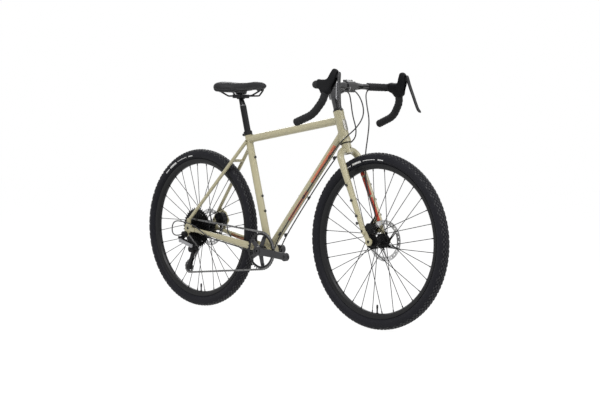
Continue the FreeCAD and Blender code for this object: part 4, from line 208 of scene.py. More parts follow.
PLASTIC = surface("black_plastic", (0.011, 0.011, 0.012), (0.020, 0.020, 0.021), 0.48, grain=1600.0,
                  depth=0.00006, blotch=30.0)
NYLON = surface("grey_nylon", (0.30, 0.30, 0.31), (0.38, 0.38, 0.39), 0.45, grain=900.0, depth=0.00003,
                blotch=60.0)
COVER = surface("saddle_cover", (0.008, 0.008, 0.009), (0.016, 0.016, 0.018), 0.52, depth=0.00022,
                blotch=26.0, specular=0.25, cells=True)
THREAD = surface("seam_thread", (0.030, 0.030, 0.031), (0.060, 0.060, 0.062), 0.70, grain=2500.0,
                 depth=0.00008)

FINISHES = {
    PAINT: ("head_tube", "top_tube", "down_tube", "seat_tube", "bb_shell", "chainstays", "seatstays",
            "rear_dropouts", "fork"),
    BLACK: ("seat_collar", "headset_cups", "bottom_bracket_cups", "frame_fasteners", "rear_caliper",
            "front_caliper", "fork_fasteners", "front_hub", "rear_hub", "derailleur_mount",
            "derailleur_knuckle", "derailleur_cage", "derailleur_inner_link", "saddle_rails", "seatpost"),
    GLOSS_BLACK: ("stem", "stem_faceplate", "handlebar", "headset_spacers"),
    RIM: ("front_rim", "rear_rim"),
    RING: ("chainring",),
    CRANK: ("crank_arm_right", "crank_arm_left"),
    SILVER: ("derailleur_outer_link",),
    LEVER_GREY: ("shift_paddle",),
    LEVER_BLACK: ("brake_lever_left", "brake_lever_right"),
    FRONT_ROTOR: ("front_rotor",),
    REAR_ROTOR: ("rear_rotor",),
    CHAIN: ("chain",),
    COGS: ("cassette", "front_pad_left", "front_pad_right", "rear_pad_left", "rear_pad_right"),
    SPOKES: ("front_spokes", "rear_spokes"),
    TYRE_RUBBER_AND_GROOVE_SHADE: ("front_tyre", "rear_tyre"),
    TAPE: ("bar_tape",),
    HOOD: ("lever_hoods",),
    HOSE: ("rear_brake_hose", "front_brake_hose", "shift_housing"),
    PLASTIC: ("cable_guides", "bar_plugs", "guide_pulley", "tension_pulley", "saddle_shell"),
    COVER: ("saddle",),
}
for finish, node_names in FINISHES.items():
    for node_name in node_names:
        nodes[node_name].data.materials.clear()
        nodes[node_name].data.materials.append(finish)

# Helpers for new pieces
EDGE_CREASE = 40
PRINT_LIFT = 0.15
PRINT_THICKNESS = 0.35
BAND_STEPS = 48
BAND_SIDES = 10


def add_object(name, data):
    made = bpy.data.objects.new(name, data)
    scene.collection.objects.link(made)
    return made


def piece(name, mesh, finish, body, at=None):
    """An object that rides a body, where one is named, and takes a finish and a material slot."""
    made = add_object(name, mesh)
    mesh.materials.append(finish)
    mesh.polygons.foreach_set("use_smooth", [True] * len(mesh.polygons))
    if at is not None:
        made.location = at * MM
    if body:
        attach(made, body)
    return made


def mesh_from(name, points, faces):
    """A mesh from points in millimetres."""
    made = bpy.data.meshes.new(name)
    made.from_pydata([Vector(point) * MM for point in points], [], faces)
    turned = bmesh.new()
    turned.from_mesh(made)
    bmesh.ops.recalc_face_normals(turned, faces=turned.faces)
    turned.to_mesh(made)
    turned.free()
    return made


def crease(made, degrees):
    """Keeps the edges sharp where faces meet at more than an angle."""
    made.data.set_sharp_from_angle(angle=radians(degrees))


def shaped(name, shape, finish, body, at=None, sharp_over=None):
    """A piece from points and faces in millimetres."""
    made = piece(name, mesh_from(name, *shape), finish, body, at)
    if sharp_over:
        crease(made, sharp_over)
    return made


def loft(rings, closed=False):
    """Points and faces of a skin over rings of equal length, capped unless it closes on itself."""
    count = len(rings[0])
    points = [point for ring in rings for point in ring]
    faces = []
    spans = len(rings) if closed else len(rings) - 1
    for row in range(spans):
        after = (row + 1) % len(rings)
        for col in range(count):
            step = (col + 1) % count
            faces.append((row * count + col, row * count + step, after * count + step, after * count + col))
    if not closed:
        faces.append(tuple(range(count)))
        last = (len(rings) - 1) * count
        faces.append(tuple(last + col for col in reversed(range(count))))
    return points, faces


def sheet(rows, cols, place):
    """Points and faces of a grid; place gives a point for two shares."""
    points = [place(row / rows, col / cols) for row in range(rows + 1) for col in range(cols + 1)]
    faces = []
    for row in range(rows):
        for col in range(cols):
            corner = row * (cols + 1) + col
            faces.append((corner, corner + 1, corner + cols + 2, corner + cols + 1))
    return points, faces


def join(parts):
    """Points and faces of several pieces in one mesh."""
    points = []
    faces = []
    for some_points, some_faces in parts:
        base = len(points)
        points += some_points
        faces += [tuple(base + corner for corner in face) for face in some_faces]
    return points, faces


def turns(steps):
    """Angles of a whole turn in equal steps."""
    return [2 * pi * step / steps for step in range(steps)]


def circle(centre, first, second, radius, steps):
    """Points round a centre, from one direction towards another."""
    return [centre + (first * cos(angle) + second * sin(angle)) * radius for angle in turns(steps)]


def squared(steps, power):
    """Points of a flat circle of radius one, pressed towards a square."""
    return [(copysign(abs(cos(angle)) ** power, cos(angle)), copysign(abs(sin(angle)) ** power, sin(angle)))
            for angle in turns(steps)]


def band(centre, axis, radius, half_height, thickness):
    """Points and faces of a rounded band round an axis."""
    axis = axis.normalized()
    first = axis.orthogonal().normalized()
    rings = []
    for out in circle(Vector(), first, axis.cross(first), 1.0, BAND_STEPS):
        rings.append([centre + out * (radius + thickness / 2 + cos(angle) * thickness / 2)
                      + axis * (sin(angle) * half_height) for angle in turns(BAND_SIDES)])
    return loft(rings, closed=True)


def between(keys, value, ease):
    """Interpolation through (place, amount) pairs."""
    for (left, low), (right, high) in zip(keys, keys[1:]):
        if value <= right:
            share = max(0.0, min(1.0, (value - left) / (right - left)))
            return low + (high - low) * ease(share)
    return keys[-1][1]


def eased(keys, value):
    return between(keys, value, lambda share: share * share * (3 - 2 * share))


def straight(keys, value):
    return between(keys, value, lambda share: share)


def smooth_line(points, count):
    """Points on a smooth curve through a row of places."""
    out = []
    padded = [points[0] * 2 - points[1]] + list(points) + [points[-1] * 2 - points[-2]]
    for index in range(len(points) - 1):
        before, start, end, after = padded[index:index + 4]
        for step in range(count):
            share = step / count
            out.append(0.5 * (start * 2 + (end - before) * share
                              + (before * 2 - start * 5 + end * 4 - after) * share * share
                              + (start * 3 - before - end * 3 + after) * share * share * share))
    out.append(points[-1])
    return out


def settled(made):
    """Applies a piece's modifiers to its mesh."""
    bpy.context.view_layer.update()
    seen_now = made.evaluated_get(bpy.context.evaluated_depsgraph_get())
    flat = bpy.data.meshes.new_from_object(seen_now)
    made.modifiers.clear()
    made.data = flat
    flat.polygons.foreach_set("use_smooth", [True] * len(flat.polygons))


def patch(name, finish, body, node_name, shape, lift=PRINT_LIFT, thickness=PRINT_THICKNESS):
    """A thin sheet laid on a node's surface."""
    made = shaped(name, shape, finish, None)
    wrap = made.modifiers.new("wrap", "SHRINKWRAP")
    wrap.target = nodes[node_name]
    wrap.wrap_method = "NEAREST_SURFACEPOINT"
    wrap.wrap_mode = "ABOVE_SURFACE"
    wrap.offset = (lift + thickness) * MM
    thick = made.modifiers.new("thickness", "SOLIDIFY")
    thick.thickness = thickness * MM
    thick.offset = 0.0
    settled(made)
    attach(made, body)


# Camera at the photograph's angle, with its place in metres
CAMERA_ANGLES = (44.6214, 2.6787, 0.4639)
CAMERA_PLACE = (4.05328879, -4.01709482, 0.74591758)
azimuth, elevation, roll = (radians(angle) for angle in CAMERA_ANGLES)
flat_share = cos(elevation)
back = Vector((sin(azimuth) * flat_share, -cos(azimuth) * flat_share, sin(elevation)))
right = Vector((cos(azimuth), sin(azimuth), 0.0))
up = back.cross(right)
right_rolled = right * cos(roll) + up * sin(roll)
up_rolled = up * cos(roll) - right * sin(roll)
camera_data = bpy.data.cameras.new("camera")
camera_data.lens = 84.05
camera_data.sensor_width = 36.0
camera_data.clip_end = 60.0
camera = add_object("camera", camera_data)
turn = Matrix((right_rolled, up_rolled, back)).transposed().to_4x4()
camera.matrix_world = Matrix.Translation(CAMERA_PLACE) @ turn
scene.camera = camera

# Tyres: carcass with moulded ribs, rows of tread blocks and plain pale marks on the walls; the blocks are
# painted lighter than the carcass as a painted highlight on the knobs, and the carcass darker as painted
# shade in the grooves
# Half sections as (distance from the middle, radius), from the bead to the tread and back
CARCASS = [(8.6, 296.0), (11.3, 296.0), (11.8, 298.6), (14.6, 300.4), (17.6, 303.0), (18.9, 304.4),
           (19.8, 304.9), (20.3, 306.0), (22.0, 309.5), (23.1, 313.0), (23.4, 316.5), (23.1, 320.0),
           (22.2, 323.6), (21.2, 326.2), (20.4, 328.6), (18.2, 331.4), (15.2, 333.3), (11.4, 335.2),
           (7.6, 336.6), (3.8, 337.4), (0.0, 337.7)]
INSIDE = [(0.0, 334.0), (9.0, 332.5), (16.0, 328.5), (20.0, 321.0), (20.2, 313.0), (16.0, 304.5),
          (8.6, 299.5)]
SHOULDER_RADIUS = 327.0
WALL_SIDE = 15.0
TREAD_BASE = [(side, radius) for side, radius in reversed(CARCASS) if radius > SHOULDER_RADIUS]
WALL = [(radius, side) for side, radius in CARCASS if side > WALL_SIDE and radius < SHOULDER_RADIUS]
TYRE_STEPS = 180
TYRE_CREASE = 38
TREAD_PITCHES = 116
# Rows of blocks: distance from the middle, length, width, height, skew, shift in half pitches, every how many
TREAD_ROWS = ((3.1, 9.5, 4.6, 2.0, 2.0, 0.0, 1), (9.0, 8.0, 4.8, 2.2, -2.4, 0.9, 1),
              (14.9, 10.5, 5.0, 2.4, 2.0, 0.0, 1), (19.0, 11.0, 3.6, 1.5, 0.0, 1.0, 2))
BLOCK_ROOT = 0.8
BLOCK_TOP_SHARE = 0.80
SLOPE_STEP = 1.0
# Marks: degrees past the first, length in degrees, inner and outer radius
WALL_MARKS = ((0.0, 8.6, 308.2, 315.6), (10.4, 11.5, 311.2, 313.6), (24.5, 5.0, 309.8, 314.2),
              (-6.5, 5.0, 309.6, 313.4))
LEAST_MARK_ROWS = 4
MARK_COLS = 2
MARK_LIFT = 0.22
MARK_THICKNESS = 0.3
FRONT_MARKS = 112.0
REAR_MARKS = 126.0


def carcass_at(side):
    """Radius and outward slope of the carcass at a distance from the middle of the tread."""
    radius = straight(TREAD_BASE, abs(side))
    ahead = straight(TREAD_BASE, min(abs(side) + SLOPE_STEP, TREAD_BASE[-1][0]))
    return radius, copysign(atan2(radius - ahead, SLOPE_STEP), side)


def wheel_point(angle, radius, side):
    return Vector((radius * cos(angle), side, radius * sin(angle)))


def block(angle, side, along, across, height, skew):
    """A tapered tread block on the carcass."""
    radius, slope = carcass_at(side)
    base = wheel_point(angle, radius, side)
    outward = Vector((cos(angle) * cos(slope), sin(slope), sin(angle) * cos(slope)))
    forward = Vector((-sin(angle), 0.0, cos(angle)))
    aside = outward.cross(forward)
    points = []
    for level, share in ((-BLOCK_ROOT, 1.0), (height, BLOCK_TOP_SHARE)):
        for end, edge in ((-1, -1), (1, -1), (1, 1), (-1, 1)):
            points.append(base + outward * level + forward * ((end * along + skew * edge) * share / 2)
                          + aside * (edge * across * share / 2))
    return points, [(0, 3, 2, 1), (4, 5, 6, 7), (0, 1, 5, 4), (1, 2, 6, 5), (2, 3, 7, 6), (3, 0, 4, 7)]


def carcass():
    outside = CARCASS + [(-side, radius) for side, radius in reversed(CARCASS[:-1])]
    inside = [(-side, radius) for side, radius in reversed(INSIDE)] + INSIDE[1:]
    return loft([[wheel_point(angle, radius, side) for side, radius in outside + inside]
                 for angle in turns(TYRE_STEPS)], closed=True)


def tread_blocks():
    blocks = []
    half_step = pi / TREAD_PITCHES
    for step in range(TREAD_PITCHES):
        for sign in (1, -1):
            start = 2 * pi * step / TREAD_PITCHES + (half_step if sign < 0 else 0.0)
            for side, along, across, height, skew, shift, every in TREAD_ROWS:
                if step % every == 0:
                    blocks.append(block(start + half_step * shift, sign * side, along, across, height,
                                        skew * sign))
    return blocks


def wall_mark(sign, first, length, low, high):
    """A pale bar on one wall, from an angle in degrees."""
    def place(row, col):
        radius = low + (high - low) * col
        side = sign * (straight(WALL, radius) + MARK_LIFT)
        return wheel_point(radians(first - length * row), radius, side)
    return sheet(max(LEAST_MARK_ROWS, int(length)), MARK_COLS, place)


def make_tyre(name, node_name, body, axle, mark_angle):
    walls = carcass()
    points, faces = join([walls] + tread_blocks())
    tyre = shaped(name, (points, faces), TYRE_RUBBER_AND_GROOVE_SHADE, body, axle, TYRE_CREASE)
    # The blocks take the lighter rubber with its painted highlight, the carcass the darker rubber with its
    # painted groove shade
    tyre.data.materials.append(TREAD_RUBBER_AND_HIGHLIGHT)
    wall_faces = len(walls[1])
    tyre.data.polygons.foreach_set("material_index", [0] * wall_faces + [1] * (len(faces) - wall_faces))
    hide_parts(node_name)
    bars = join([wall_mark(sign, mark_angle - start, length, low, high) for sign in (1, -1)
                 for start, length, low, high in WALL_MARKS])
    marks = shaped(name + "_marks", bars, PALE, body, axle)
    thick = marks.modifiers.new("thickness", "SOLIDIFY")
    thick.thickness = MARK_THICKNESS * MM
    thick.offset = -1.0


make_tyre("front_tread", "front_tyre", "front_wheel", FRONT_AXLE, FRONT_MARKS)
make_tyre("rear_tread", "rear_tyre", "rear_wheel", REAR_AXLE, REAR_MARKS)

# Spokes: the laced spokes and nipples with a slightly fuller section
SPOKE_SWELL = 0.4
SPOKE_WELD = 0.01


def make_spokes(end):
    solid = nodes[end + "_spokes"]
    fuller = solid.data.copy()
    fuller.transform(solid.matrix_world)
    fuller.materials.clear()
    weld = bmesh.new()
    weld.from_mesh(fuller)
    bmesh.ops.remove_doubles(weld, verts=weld.verts, dist=SPOKE_WELD * MM)
    bmesh.ops.recalc_face_normals(weld, faces=weld.faces)
    weld.normal_update()
    for vertex, normal in [(vertex, vertex.normal.copy()) for vertex in weld.verts]:
        vertex.co += normal * (SPOKE_SWELL * MM)
    weld.to_mesh(fuller)
    weld.free()
    made = piece(end + "_spoke_set", fuller, SPOKES, end + "_wheel")
    crease(made, EDGE_CREASE)
    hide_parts(end + "_spokes")


make_spokes("front")
make_spokes("rear")

# Bar tape: a strip wound round the bar with a lapped edge at each turn
TAPE_START = 108.0
TAPE_RADIUS = 14.3
TAPE_PITCH = 15.0
TAPE_LAP = 1.5
LAP_SHARE = 0.90
TAPE_PRESS = 1.6
TAPE_STEP = 1.5
TAPE_SIDES = 30
UNDER_HOOD_FORWARD = [(34.0, 0.0), (44.0, 1.0)]
UNDER_HOOD_DROP = [(22.0, 1.0), (34.0, 0.0)]
# Corners of the bar as (forward, drop), and the bends at them
BAR_CORNERS = ((0, 0), (73, 3), (73, 57), (30, 114), (-52, 143.5))
BENDS = (34.0, 30.0, 70.0, 90.0)
BEND_SLACK_SHARE = 0.2


def bar_point(forward, drop, side):
    return BAR_CENTRE + Vector((forward, side * (BAR_HALF + drop * tan(FLARE)), -drop))


def rounded(points, radii, step):
    """Samples a line of straight runs and tangent arcs."""
    out = [points[0]]

    def run_to(end):
        start = out[-1]
        count = max(1, int((end - start).length / step))
        for index in range(1, count + 1):
            out.append(start.lerp(end, index / count))

    for before, corner, after, radius in zip(points, points[1:], points[2:], radii):
        first = (before - corner).normalized()
        last = (after - corner).normalized()
        half = first.angle(last) / 2
        reach = radius / tan(half)
        centre = corner + (first + last).normalized() * (radius / sin(half))
        run_to(corner + first * reach)
        arm = out[-1] - centre
        axis = first.cross(last).normalized()
        sweep = pi - 2 * half
        count = max(2, int(radius * sweep / step))
        arrival = Matrix.Rotation(sweep, 3, axis) @ arm + centre
        if (arrival - (corner + last * reach)).length > radius * BEND_SLACK_SHARE:
            axis = -axis
        for index in range(1, count + 1):
            out.append(centre + Matrix.Rotation(sweep * index / count, 3, axis) @ arm)
    run_to(points[-1])
    return out


def tube_rings(path, radius_at, around):
    """Rings round a sampled line, carried along it without twist."""
    rings = []
    side = (path[1] - path[0]).orthogonal().normalized()
    walked = 0.0
    for index, point in enumerate(path):
        if index:
            walked += (point - path[index - 1]).length
        heading = (path[min(index + 1, len(path) - 1)] - path[max(index - 1, 0)]).normalized()
        side = (side - heading * side.dot(heading)).normalized()
        other = heading.cross(side)
        rings.append([point + (side * cos(angle) + other * sin(angle)) * radius_at(walked, angle, point)
                      for angle in turns(around)])
    return rings


def wound(walked, angle, point):
    """Tape radius: each turn laps the one before, and the tape is pressed flat under the hood."""
    turn_share = (walked / TAPE_PITCH + angle / (2 * pi)) % 1.0
    if turn_share < LAP_SHARE:
        lap = TAPE_LAP * turn_share
    else:
        lap = TAPE_LAP * LAP_SHARE * (1.0 - turn_share) / (1.0 - LAP_SHARE)
    forward = point.x - BAR_CENTRE.x
    drop = BAR_CENTRE.z - point.z
    under_hood = eased(UNDER_HOOD_FORWARD, forward) * eased(UNDER_HOOD_DROP, drop)
    return TAPE_RADIUS + lap - under_hood * (TAPE_PRESS + lap)


tapes = []
for sign in (1, -1):
    line = [BAR_CENTRE + LEFT * (sign * TAPE_START)]
    line += [bar_point(forward, drop, sign) for forward, drop in BAR_CORNERS]
    tapes.append(loft(tube_rings(rounded(line, BENDS, TAPE_STEP), wound, TAPE_SIDES)))
tape = shaped("wound_tape", join(tapes), TAPE, "fork")
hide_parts("bar_tape")

# Lever hoods: a soft moulded body over the clamp, with a slot for the lever and its paddle
# Places on hood and lever are (forward, rise) from the bar's centre line
HOOD_OUTLINE = [(31, 16), (56, 16), (80, 19), (91, 41), (98, 56), (110, 57), (120, 48), (121, 30), (116, 9),
                (105, -13), (94, -36), (62, -40), (48, -24), (33, -15)]
HOOD_SPINE = [((44, 0), (84, -6)), ((84, -6), (76, -22)), ((84, -6), (100, 14)), ((100, 14), (108, 44))]
# Shares of the half width, and how far the outline is drawn in towards the spine there
HOOD_LEVELS = ((0.0, 0.0), (0.3, 0.0), (0.6, 0.04), (0.82, 0.15), (0.93, 0.34), (0.985, 0.60), (1.0, 0.92))
HOOD_WIDTHS = [(40.0, 16.6), (84.0, 16.4), (104.0, 13.8)]
HORN_WIDTH_SHARES = [(30.0, 1.0), (56.0, 0.80)]
HOOD_FINENESS = 6
HOOD_CREASE = 45
LEVER_PIVOT = (113.0, 30.0)
SLOT_OUTLINE = ((-14.0, -56.0), (60, -56.0), (60, 34), (-9.1, 9.1), (-9.1, -23.8), (-14.0, -28.0))
SLOT_HALF = 5.4


def leaned(forward, out, rise, sign):
    """A place on the hood, which leans with the flare of the bar."""
    side = BAR_HALF + out * cos(FLARE) - rise * sin(FLARE)
    return BAR_CENTRE + Vector((forward, sign * side, out * sin(FLARE) + rise * cos(FLARE)))


def spine_point(place):
    """The nearest place on the lines through the middle of the hood's outline."""
    spots = []
    for start, end in HOOD_SPINE:
        along = Vector(end) - Vector(start)
        share = max(0.0, min(1.0, (place - Vector(start)).dot(along) / along.dot(along)))
        spots.append(Vector(start) + along * share)
    return min(spots, key=lambda spot: (spot - place).length)


def hood(sign):
    loop = [Vector(place) for place in HOOD_OUTLINE]
    outline = smooth_line([loop[-1]] + loop + [loop[0], loop[1]], HOOD_FINENESS)
    outline = outline[HOOD_FINENESS:-HOOD_FINENESS - 1]
    rings = []
    for level, inset in [(-level, inset) for level, inset in reversed(HOOD_LEVELS[1:])] + list(HOOD_LEVELS):
        ring = []
        for place in outline:
            forward, rise = place.lerp(spine_point(place), inset)
            half_width = eased(HOOD_WIDTHS, forward) * eased(HORN_WIDTH_SHARES, rise)
            ring.append(leaned(forward, level * half_width, rise, sign))
        rings.append(ring)
    return loft(rings)


def hood_slot(sign):
    pivot_forward, pivot_rise = LEVER_PIVOT
    outline = [(pivot_forward + forward, pivot_rise + rise) for forward, rise in SLOT_OUTLINE]
    sides = (-SLOT_HALF, SLOT_HALF)
    return loft([[leaned(forward, out, rise, sign) for forward, rise in outline] for out in sides])


hoods = shaped("hood_covers", join([hood(1), hood(-1)]), HOOD, None)
remesh = hoods.modifiers.new("skin", "REMESH")
remesh.mode = "VOXEL"
remesh.voxel_size = 1.4 * MM
soften = hoods.modifiers.new("soften", "SMOOTH")
soften.factor = 0.5
soften.iterations = 8
slots = add_object("slots", mesh_from("slots", *join([hood_slot(1), hood_slot(-1)])))
cut = hoods.modifiers.new("slot", "BOOLEAN")
cut.operation = "DIFFERENCE"
cut.solver = "EXACT"
cut.object = slots
settled(hoods)
bpy.data.objects.remove(slots)
crease(hoods, HOOD_CREASE)
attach(hoods, "fork")
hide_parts("lever_hoods")

# Brake levers: curved blades with a rounded section and a lug on the pivot
# Edges of the blade as shares of its scale, from the pivot down to the tip
BLADE_FRONT_SHARES = [(0.820, 0.300), (0.845, 0.240), (0.868, 0.075), (0.905, -0.075), (0.950, -0.240),
                      (0.993, -0.410), (1.038, -0.545), (1.095, -0.620)]
BLADE_BACK_SHARES = [(0.775, 0.260), (0.786, 0.160), (0.812, 0.070), (0.848, -0.085), (0.894, -0.255),
                     (0.938, -0.430), (0.990, -0.592), (1.070, -0.662)]
BLADE_SCALE = 160.0
BLADE_FINENESS = 6
BLADE_WIDTHS = [(0.0, 6.6), (0.25, 7.5), (0.7, 6.6), (1.0, 5.6)]
BLADE_END_SHARES = (0.45, 0.78, 0.93)
BLADE_SIDES = 20
BLADE_ROUNDING = 0.75
BLADE_CREASE = 50
LUG_LEVELS = ((-4.5, 0.7), (-4.1, 0.0), (4.1, 0.0), (4.5, 0.7))
LUG_RADIUS = 7.0
LUG_REACH = 15.4
LUG_STEPS = 24


def blade_edge(shares):
    return smooth_line([Vector(share) * BLADE_SCALE for share in shares], BLADE_FINENESS)


def blade(sign):
    front = blade_edge(BLADE_FRONT_SHARES)
    rear = blade_edge(BLADE_BACK_SHARES)
    rings = []
    last = len(front) - 1
    for index, (ahead, behind) in enumerate(zip(front, rear)):
        end = min(index, last - index)
        shrink = BLADE_END_SHARES[end] if end < len(BLADE_END_SHARES) else 1.0
        middle = (ahead + behind) / 2
        reach = (ahead - behind) / 2 * shrink
        wide = eased(BLADE_WIDTHS, index / last) * shrink
        ring = []
        for along, out in squared(BLADE_SIDES, BLADE_ROUNDING):
            forward, rise = middle + reach * along
            ring.append(leaned(forward, out * wide, rise, sign))
        rings.append(ring)
    return loft(rings)


def lug(sign):
    pivot_forward, pivot_rise = LEVER_PIVOT
    rings = []
    for out, inset in LUG_LEVELS:
        ring = []
        for step in range(LUG_STEPS):
            angle = 2 * pi * step / LUG_STEPS + pi / 2
            forward = pivot_forward + (LUG_REACH if step >= LUG_STEPS / 2 else 0.0)
            ring.append(leaned(forward + cos(angle) * (LUG_RADIUS - inset), out,
                               pivot_rise + sin(angle) * (LUG_RADIUS - inset), sign))
        rings.append(ring)
    return loft(rings)


for label, sign in (("left", 1), ("right", -1)):
    lever = shaped("lever_blade_" + label, join([blade(sign), lug(sign)]), LEVER_BLACK, "lever_" + label,
                   sharp_over=BLADE_CREASE)
    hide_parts("brake_lever_" + label)


# Hoses: one smooth line each through the places of its route
def hose(name, places, node_name):
    line = bpy.data.curves.new(name, "CURVE")
    line.dimensions = "3D"
    spline = line.splines.new("NURBS")
    spline.points.add(len(places) - 1)
    for point, place in zip(spline.points, places):
        point.co = (*(Vector(place) * MM), 1.0)
    spline.order_u = 3
    spline.use_endpoint_u = True
    spline.resolution_u = 12
    line.bevel_depth = HOSE_RADIUS * MM
    line.bevel_resolution = 4
    line.use_fill_caps = True
    drawn = add_object(name + "_line", line)
    mesh = bpy.data.meshes.new_from_object(drawn)
    bpy.data.objects.remove(drawn)
    made = piece(name, mesh, HOSE, None)
    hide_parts(node_name)
    return made


def from_bar(*places):
    return [BAR_CENTRE + Vector(place) for place in places]


shift_loop = from_bar((15, -106.5, 0), (24, -66, -2), (66, -22, -22), (98, -14, -98), (70, -18, -155),
                      (4, -35, -208))
shift = hose("shift_line", shift_loop + [
    (286.4, -11.8, 687.0), (-16.1, -15.5, 333.9), (-50, -18.6, 245.4), (-122, -18.6, 245.4), (-175, -33, 265),
    (-252, -43, 279.2), (-347, -54.5, 296.8), (-378, -66, 304), (-406, -74.5, 320), (-452, -85, 350),
    (-500, -95, 367), (-594, -95, 372), (-594, -95, 294), (-536.7, -86.5, 313)], "shift_housing")
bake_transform(shift)
rear_loop = from_bar((9, -106.5, -12), (20, -66, -15), (20, -22, -24), (6, 4, -55), (18, 2, -115),
                     (36, 6, -168), (2, 35, -210))
rear_line = hose("rear_brake_line", rear_loop + [
    (290.6, 11.9, 683.5), (-9.0, 11.9, 327.9), (-50, 18.6, 245.4), (-122, 18.6, 245.4), (-175, 33, 265),
    (-252, 43, 279.2), (-338, 51.5, 293.4), (-370, 46, 300), (-393, 45, 330), (-399.9, 52, 344.7),
    (-410.3, 52, 360.8)], "rear_brake_hose")
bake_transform(rear_line)
front_line = hose("front_brake_line", from_bar(
    (9, 106.5, -12), (34, 58, -20), (62, 34, -72), (80, 32, -134), (70, 32.5, -205), (58, 33, -266),
    (59, 36.5, -384), (110, 39.5, -497)) + [(456.1, 39.5, 427.4), (444.8, 39.5, 411.8)], "front_brake_hose")
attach(front_line, "fork")

# Weld beads where the tubes meet
BEAD_STEPS = 220
BEAD_SIDES = 8
BEAD_RADIUS = 1.75
BEAD_RIPPLE = 0.30
RIPPLE_STEPS = 5


def bead(tube, against):
    """A rippled bead along the line where one round tube runs into another."""
    start, end, radius = tube
    base, tip, other_radius = against
    along = (end - start).normalized()
    across = along.cross(LEFT).normalized()
    axis = (tip - base).normalized()
    path = []
    for place in circle(end, across, LEFT, radius, BEAD_STEPS):
        gap = place - base
        gap = gap - axis * gap.dot(axis)
        run = along - axis * along.dot(axis)
        pace = run.dot(run)
        slope = gap.dot(run)
        excess = gap.dot(gap) - other_radius ** 2
        root = sqrt(max(0.0, slope * slope - pace * excess))
        path.append(place + along * ((-slope - root) / pace))
    rings = []
    for index, point in enumerate(path):
        heading = (path[(index + 1) % BEAD_STEPS] - path[index - 1]).normalized()
        out = (point - end - along * (point - end).dot(along)).normalized()
        thick = BEAD_RADIUS + BEAD_RIPPLE * abs(sin(index * pi / RIPPLE_STEPS))
        rings.append(circle(point, out, heading.cross(out), thick, BEAD_SIDES))
    return loft(rings, closed=True)


def reversed_tube(tube):
    return tube[1], tube[0], tube[2]


beads = join([bead(TOP_TUBE, HEAD_TUBE), bead(DOWN_TUBE, HEAD_TUBE), bead(reversed_tube(TOP_TUBE), SEAT_TUBE),
              bead(reversed_tube(DOWN_TUBE), SHELL_TUBE), bead(reversed_tube(SEAT_TUBE), SHELL_TUBE)])
shaped("weld_beads", beads, PAINT, "frame")

# Plain stripes and a bare head plate
STRIPE_LIFT = 0.5
# Down tube stripes: rows and columns, shares along the tube, angles round it from straight right
DOWN_STRIPES = (("down_tube_stripe", 40, 10, 0.60, 0.905, -60.0, -12.0),
                ("down_tube_low_stripe", 30, 8, 0.28, 0.53, -68.0, -28.0))
LEG_TOP = Vector((362.9, 52.0, 647.2))
LEG_FOOT = Vector((487.8, 57.0, 374.7))
LEG_AHEAD = Vector((0.909, 0.0, 0.417))
LEG_TAPER = 4.5
LEG_STRIPE_REACH = 14.5
LEG_STRIPE_SHARES = ((0.05, 0.22), (0.25, 0.50), (0.53, 0.86))
LEG_STRIPE_ANGLES = (-75.0, 50.0)
# Right sides of two tubes: ends, direction of the front, reach from the middle, taper
DOWN_FRONT = RIGHT.cross((DOWN_TUBE[1] - DOWN_TUBE[0]).normalized())
DOWN_SIDE = (DOWN_TUBE[0], DOWN_TUBE[1], DOWN_FRONT, DOWN_TUBE[2] + STRIPE_LIFT, 0.0)
LEG_SIDE = (LEG_TOP, LEG_FOOT, LEG_AHEAD, LEG_STRIPE_REACH, LEG_TAPER)
STAY_STRIPE_FRONT = Vector((-200.0, 38.0, 286.0))
STAY_STRIPE_BACK = Vector((-372.0, 57.5, 316.0))
STAY_STRIPE_INWARD = 9.0
STAY_STRIPE_RISE = (-9.0, 6.0)
PLATE_MIDDLE_SHARE = 0.52
PLATE_HALF_SHARE = 0.17
PLATE_HALF_ANGLE = 31.0
PLATE_CORNER_SHARE = 0.45
PLATE_CORNER_POWER = 5
PLATE_REACH = 21.5


def on_tube(start, end, ahead, reach, taper, share, degrees):
    """A place at a share of a tube's length, turned from straight right towards its front."""
    angle = radians(degrees)
    out = RIGHT * cos(angle) + ahead * sin(angle)
    return start.lerp(end, share) + out * (reach - taper * share)


def stripe(side, first, last, low, high):
    """Places on a stripe between two shares and two angles."""
    return lambda row, col: on_tube(*side, first + (last - first) * row, low + (high - low) * col)


def stay_stripe(row, col):
    low, high = STAY_STRIPE_RISE
    middle = STAY_STRIPE_FRONT.lerp(STAY_STRIPE_BACK, row)
    return middle + Vector((0.0, -STAY_STRIPE_INWARD, low + (high - low) * col))


def head_plate(row, col):
    lengthwise = 2 * row - 1
    half = radians(PLATE_HALF_ANGLE) * (1 - abs(lengthwise) ** PLATE_CORNER_POWER * PLATE_CORNER_SHARE)
    angle = half * (2 * col - 1)
    middle = HEAD_TUBE[0].lerp(HEAD_TUBE[1], PLATE_MIDDLE_SHARE + PLATE_HALF_SHARE * lengthwise)
    return middle + (STEER_FORWARD * cos(angle) + LEFT * sin(angle)) * PLATE_REACH


for name, rows, cols, *span in DOWN_STRIPES:
    patch(name, CORAL, "frame", "down_tube", sheet(rows, cols, stripe(DOWN_SIDE, *span)))
for number, span in enumerate(LEG_STRIPE_SHARES):
    patch("left_leg_stripe_%d" % number, RED, "fork", "fork",
          sheet(20, 14, stripe(LEG_SIDE, *span, *LEG_STRIPE_ANGLES)))
patch("left_stay_stripe", BROWN, "frame", "chainstays", sheet(30, 8, stay_stripe))
patch("head_plate", PLATE, "frame", "head_tube", sheet(28, 14, head_plate), lift=0.2,
      thickness=1.0)

# Small trim: bolt caps, a ring on the post and a tie round two hoses
# Rings of a cap as shares of its radius and height
KNOB_SHARES = ((0.62, -1.0), (0.62, 0.25), (0.96, 0.30), (1.0, 0.42), (1.0, 0.78), (0.88, 0.92), (0.62, 0.98),
               (0.36, 0.98), (0.34, 0.80), (0.05, 0.78))
KNOB_SIDES = 24
BOSS_SHARE = 0.86
BOSS_ANGLE = -38.0
BOSS_REACH = 14.0
BOSS_RADIUS = 6.2
BOSS_HEIGHT = 9.0
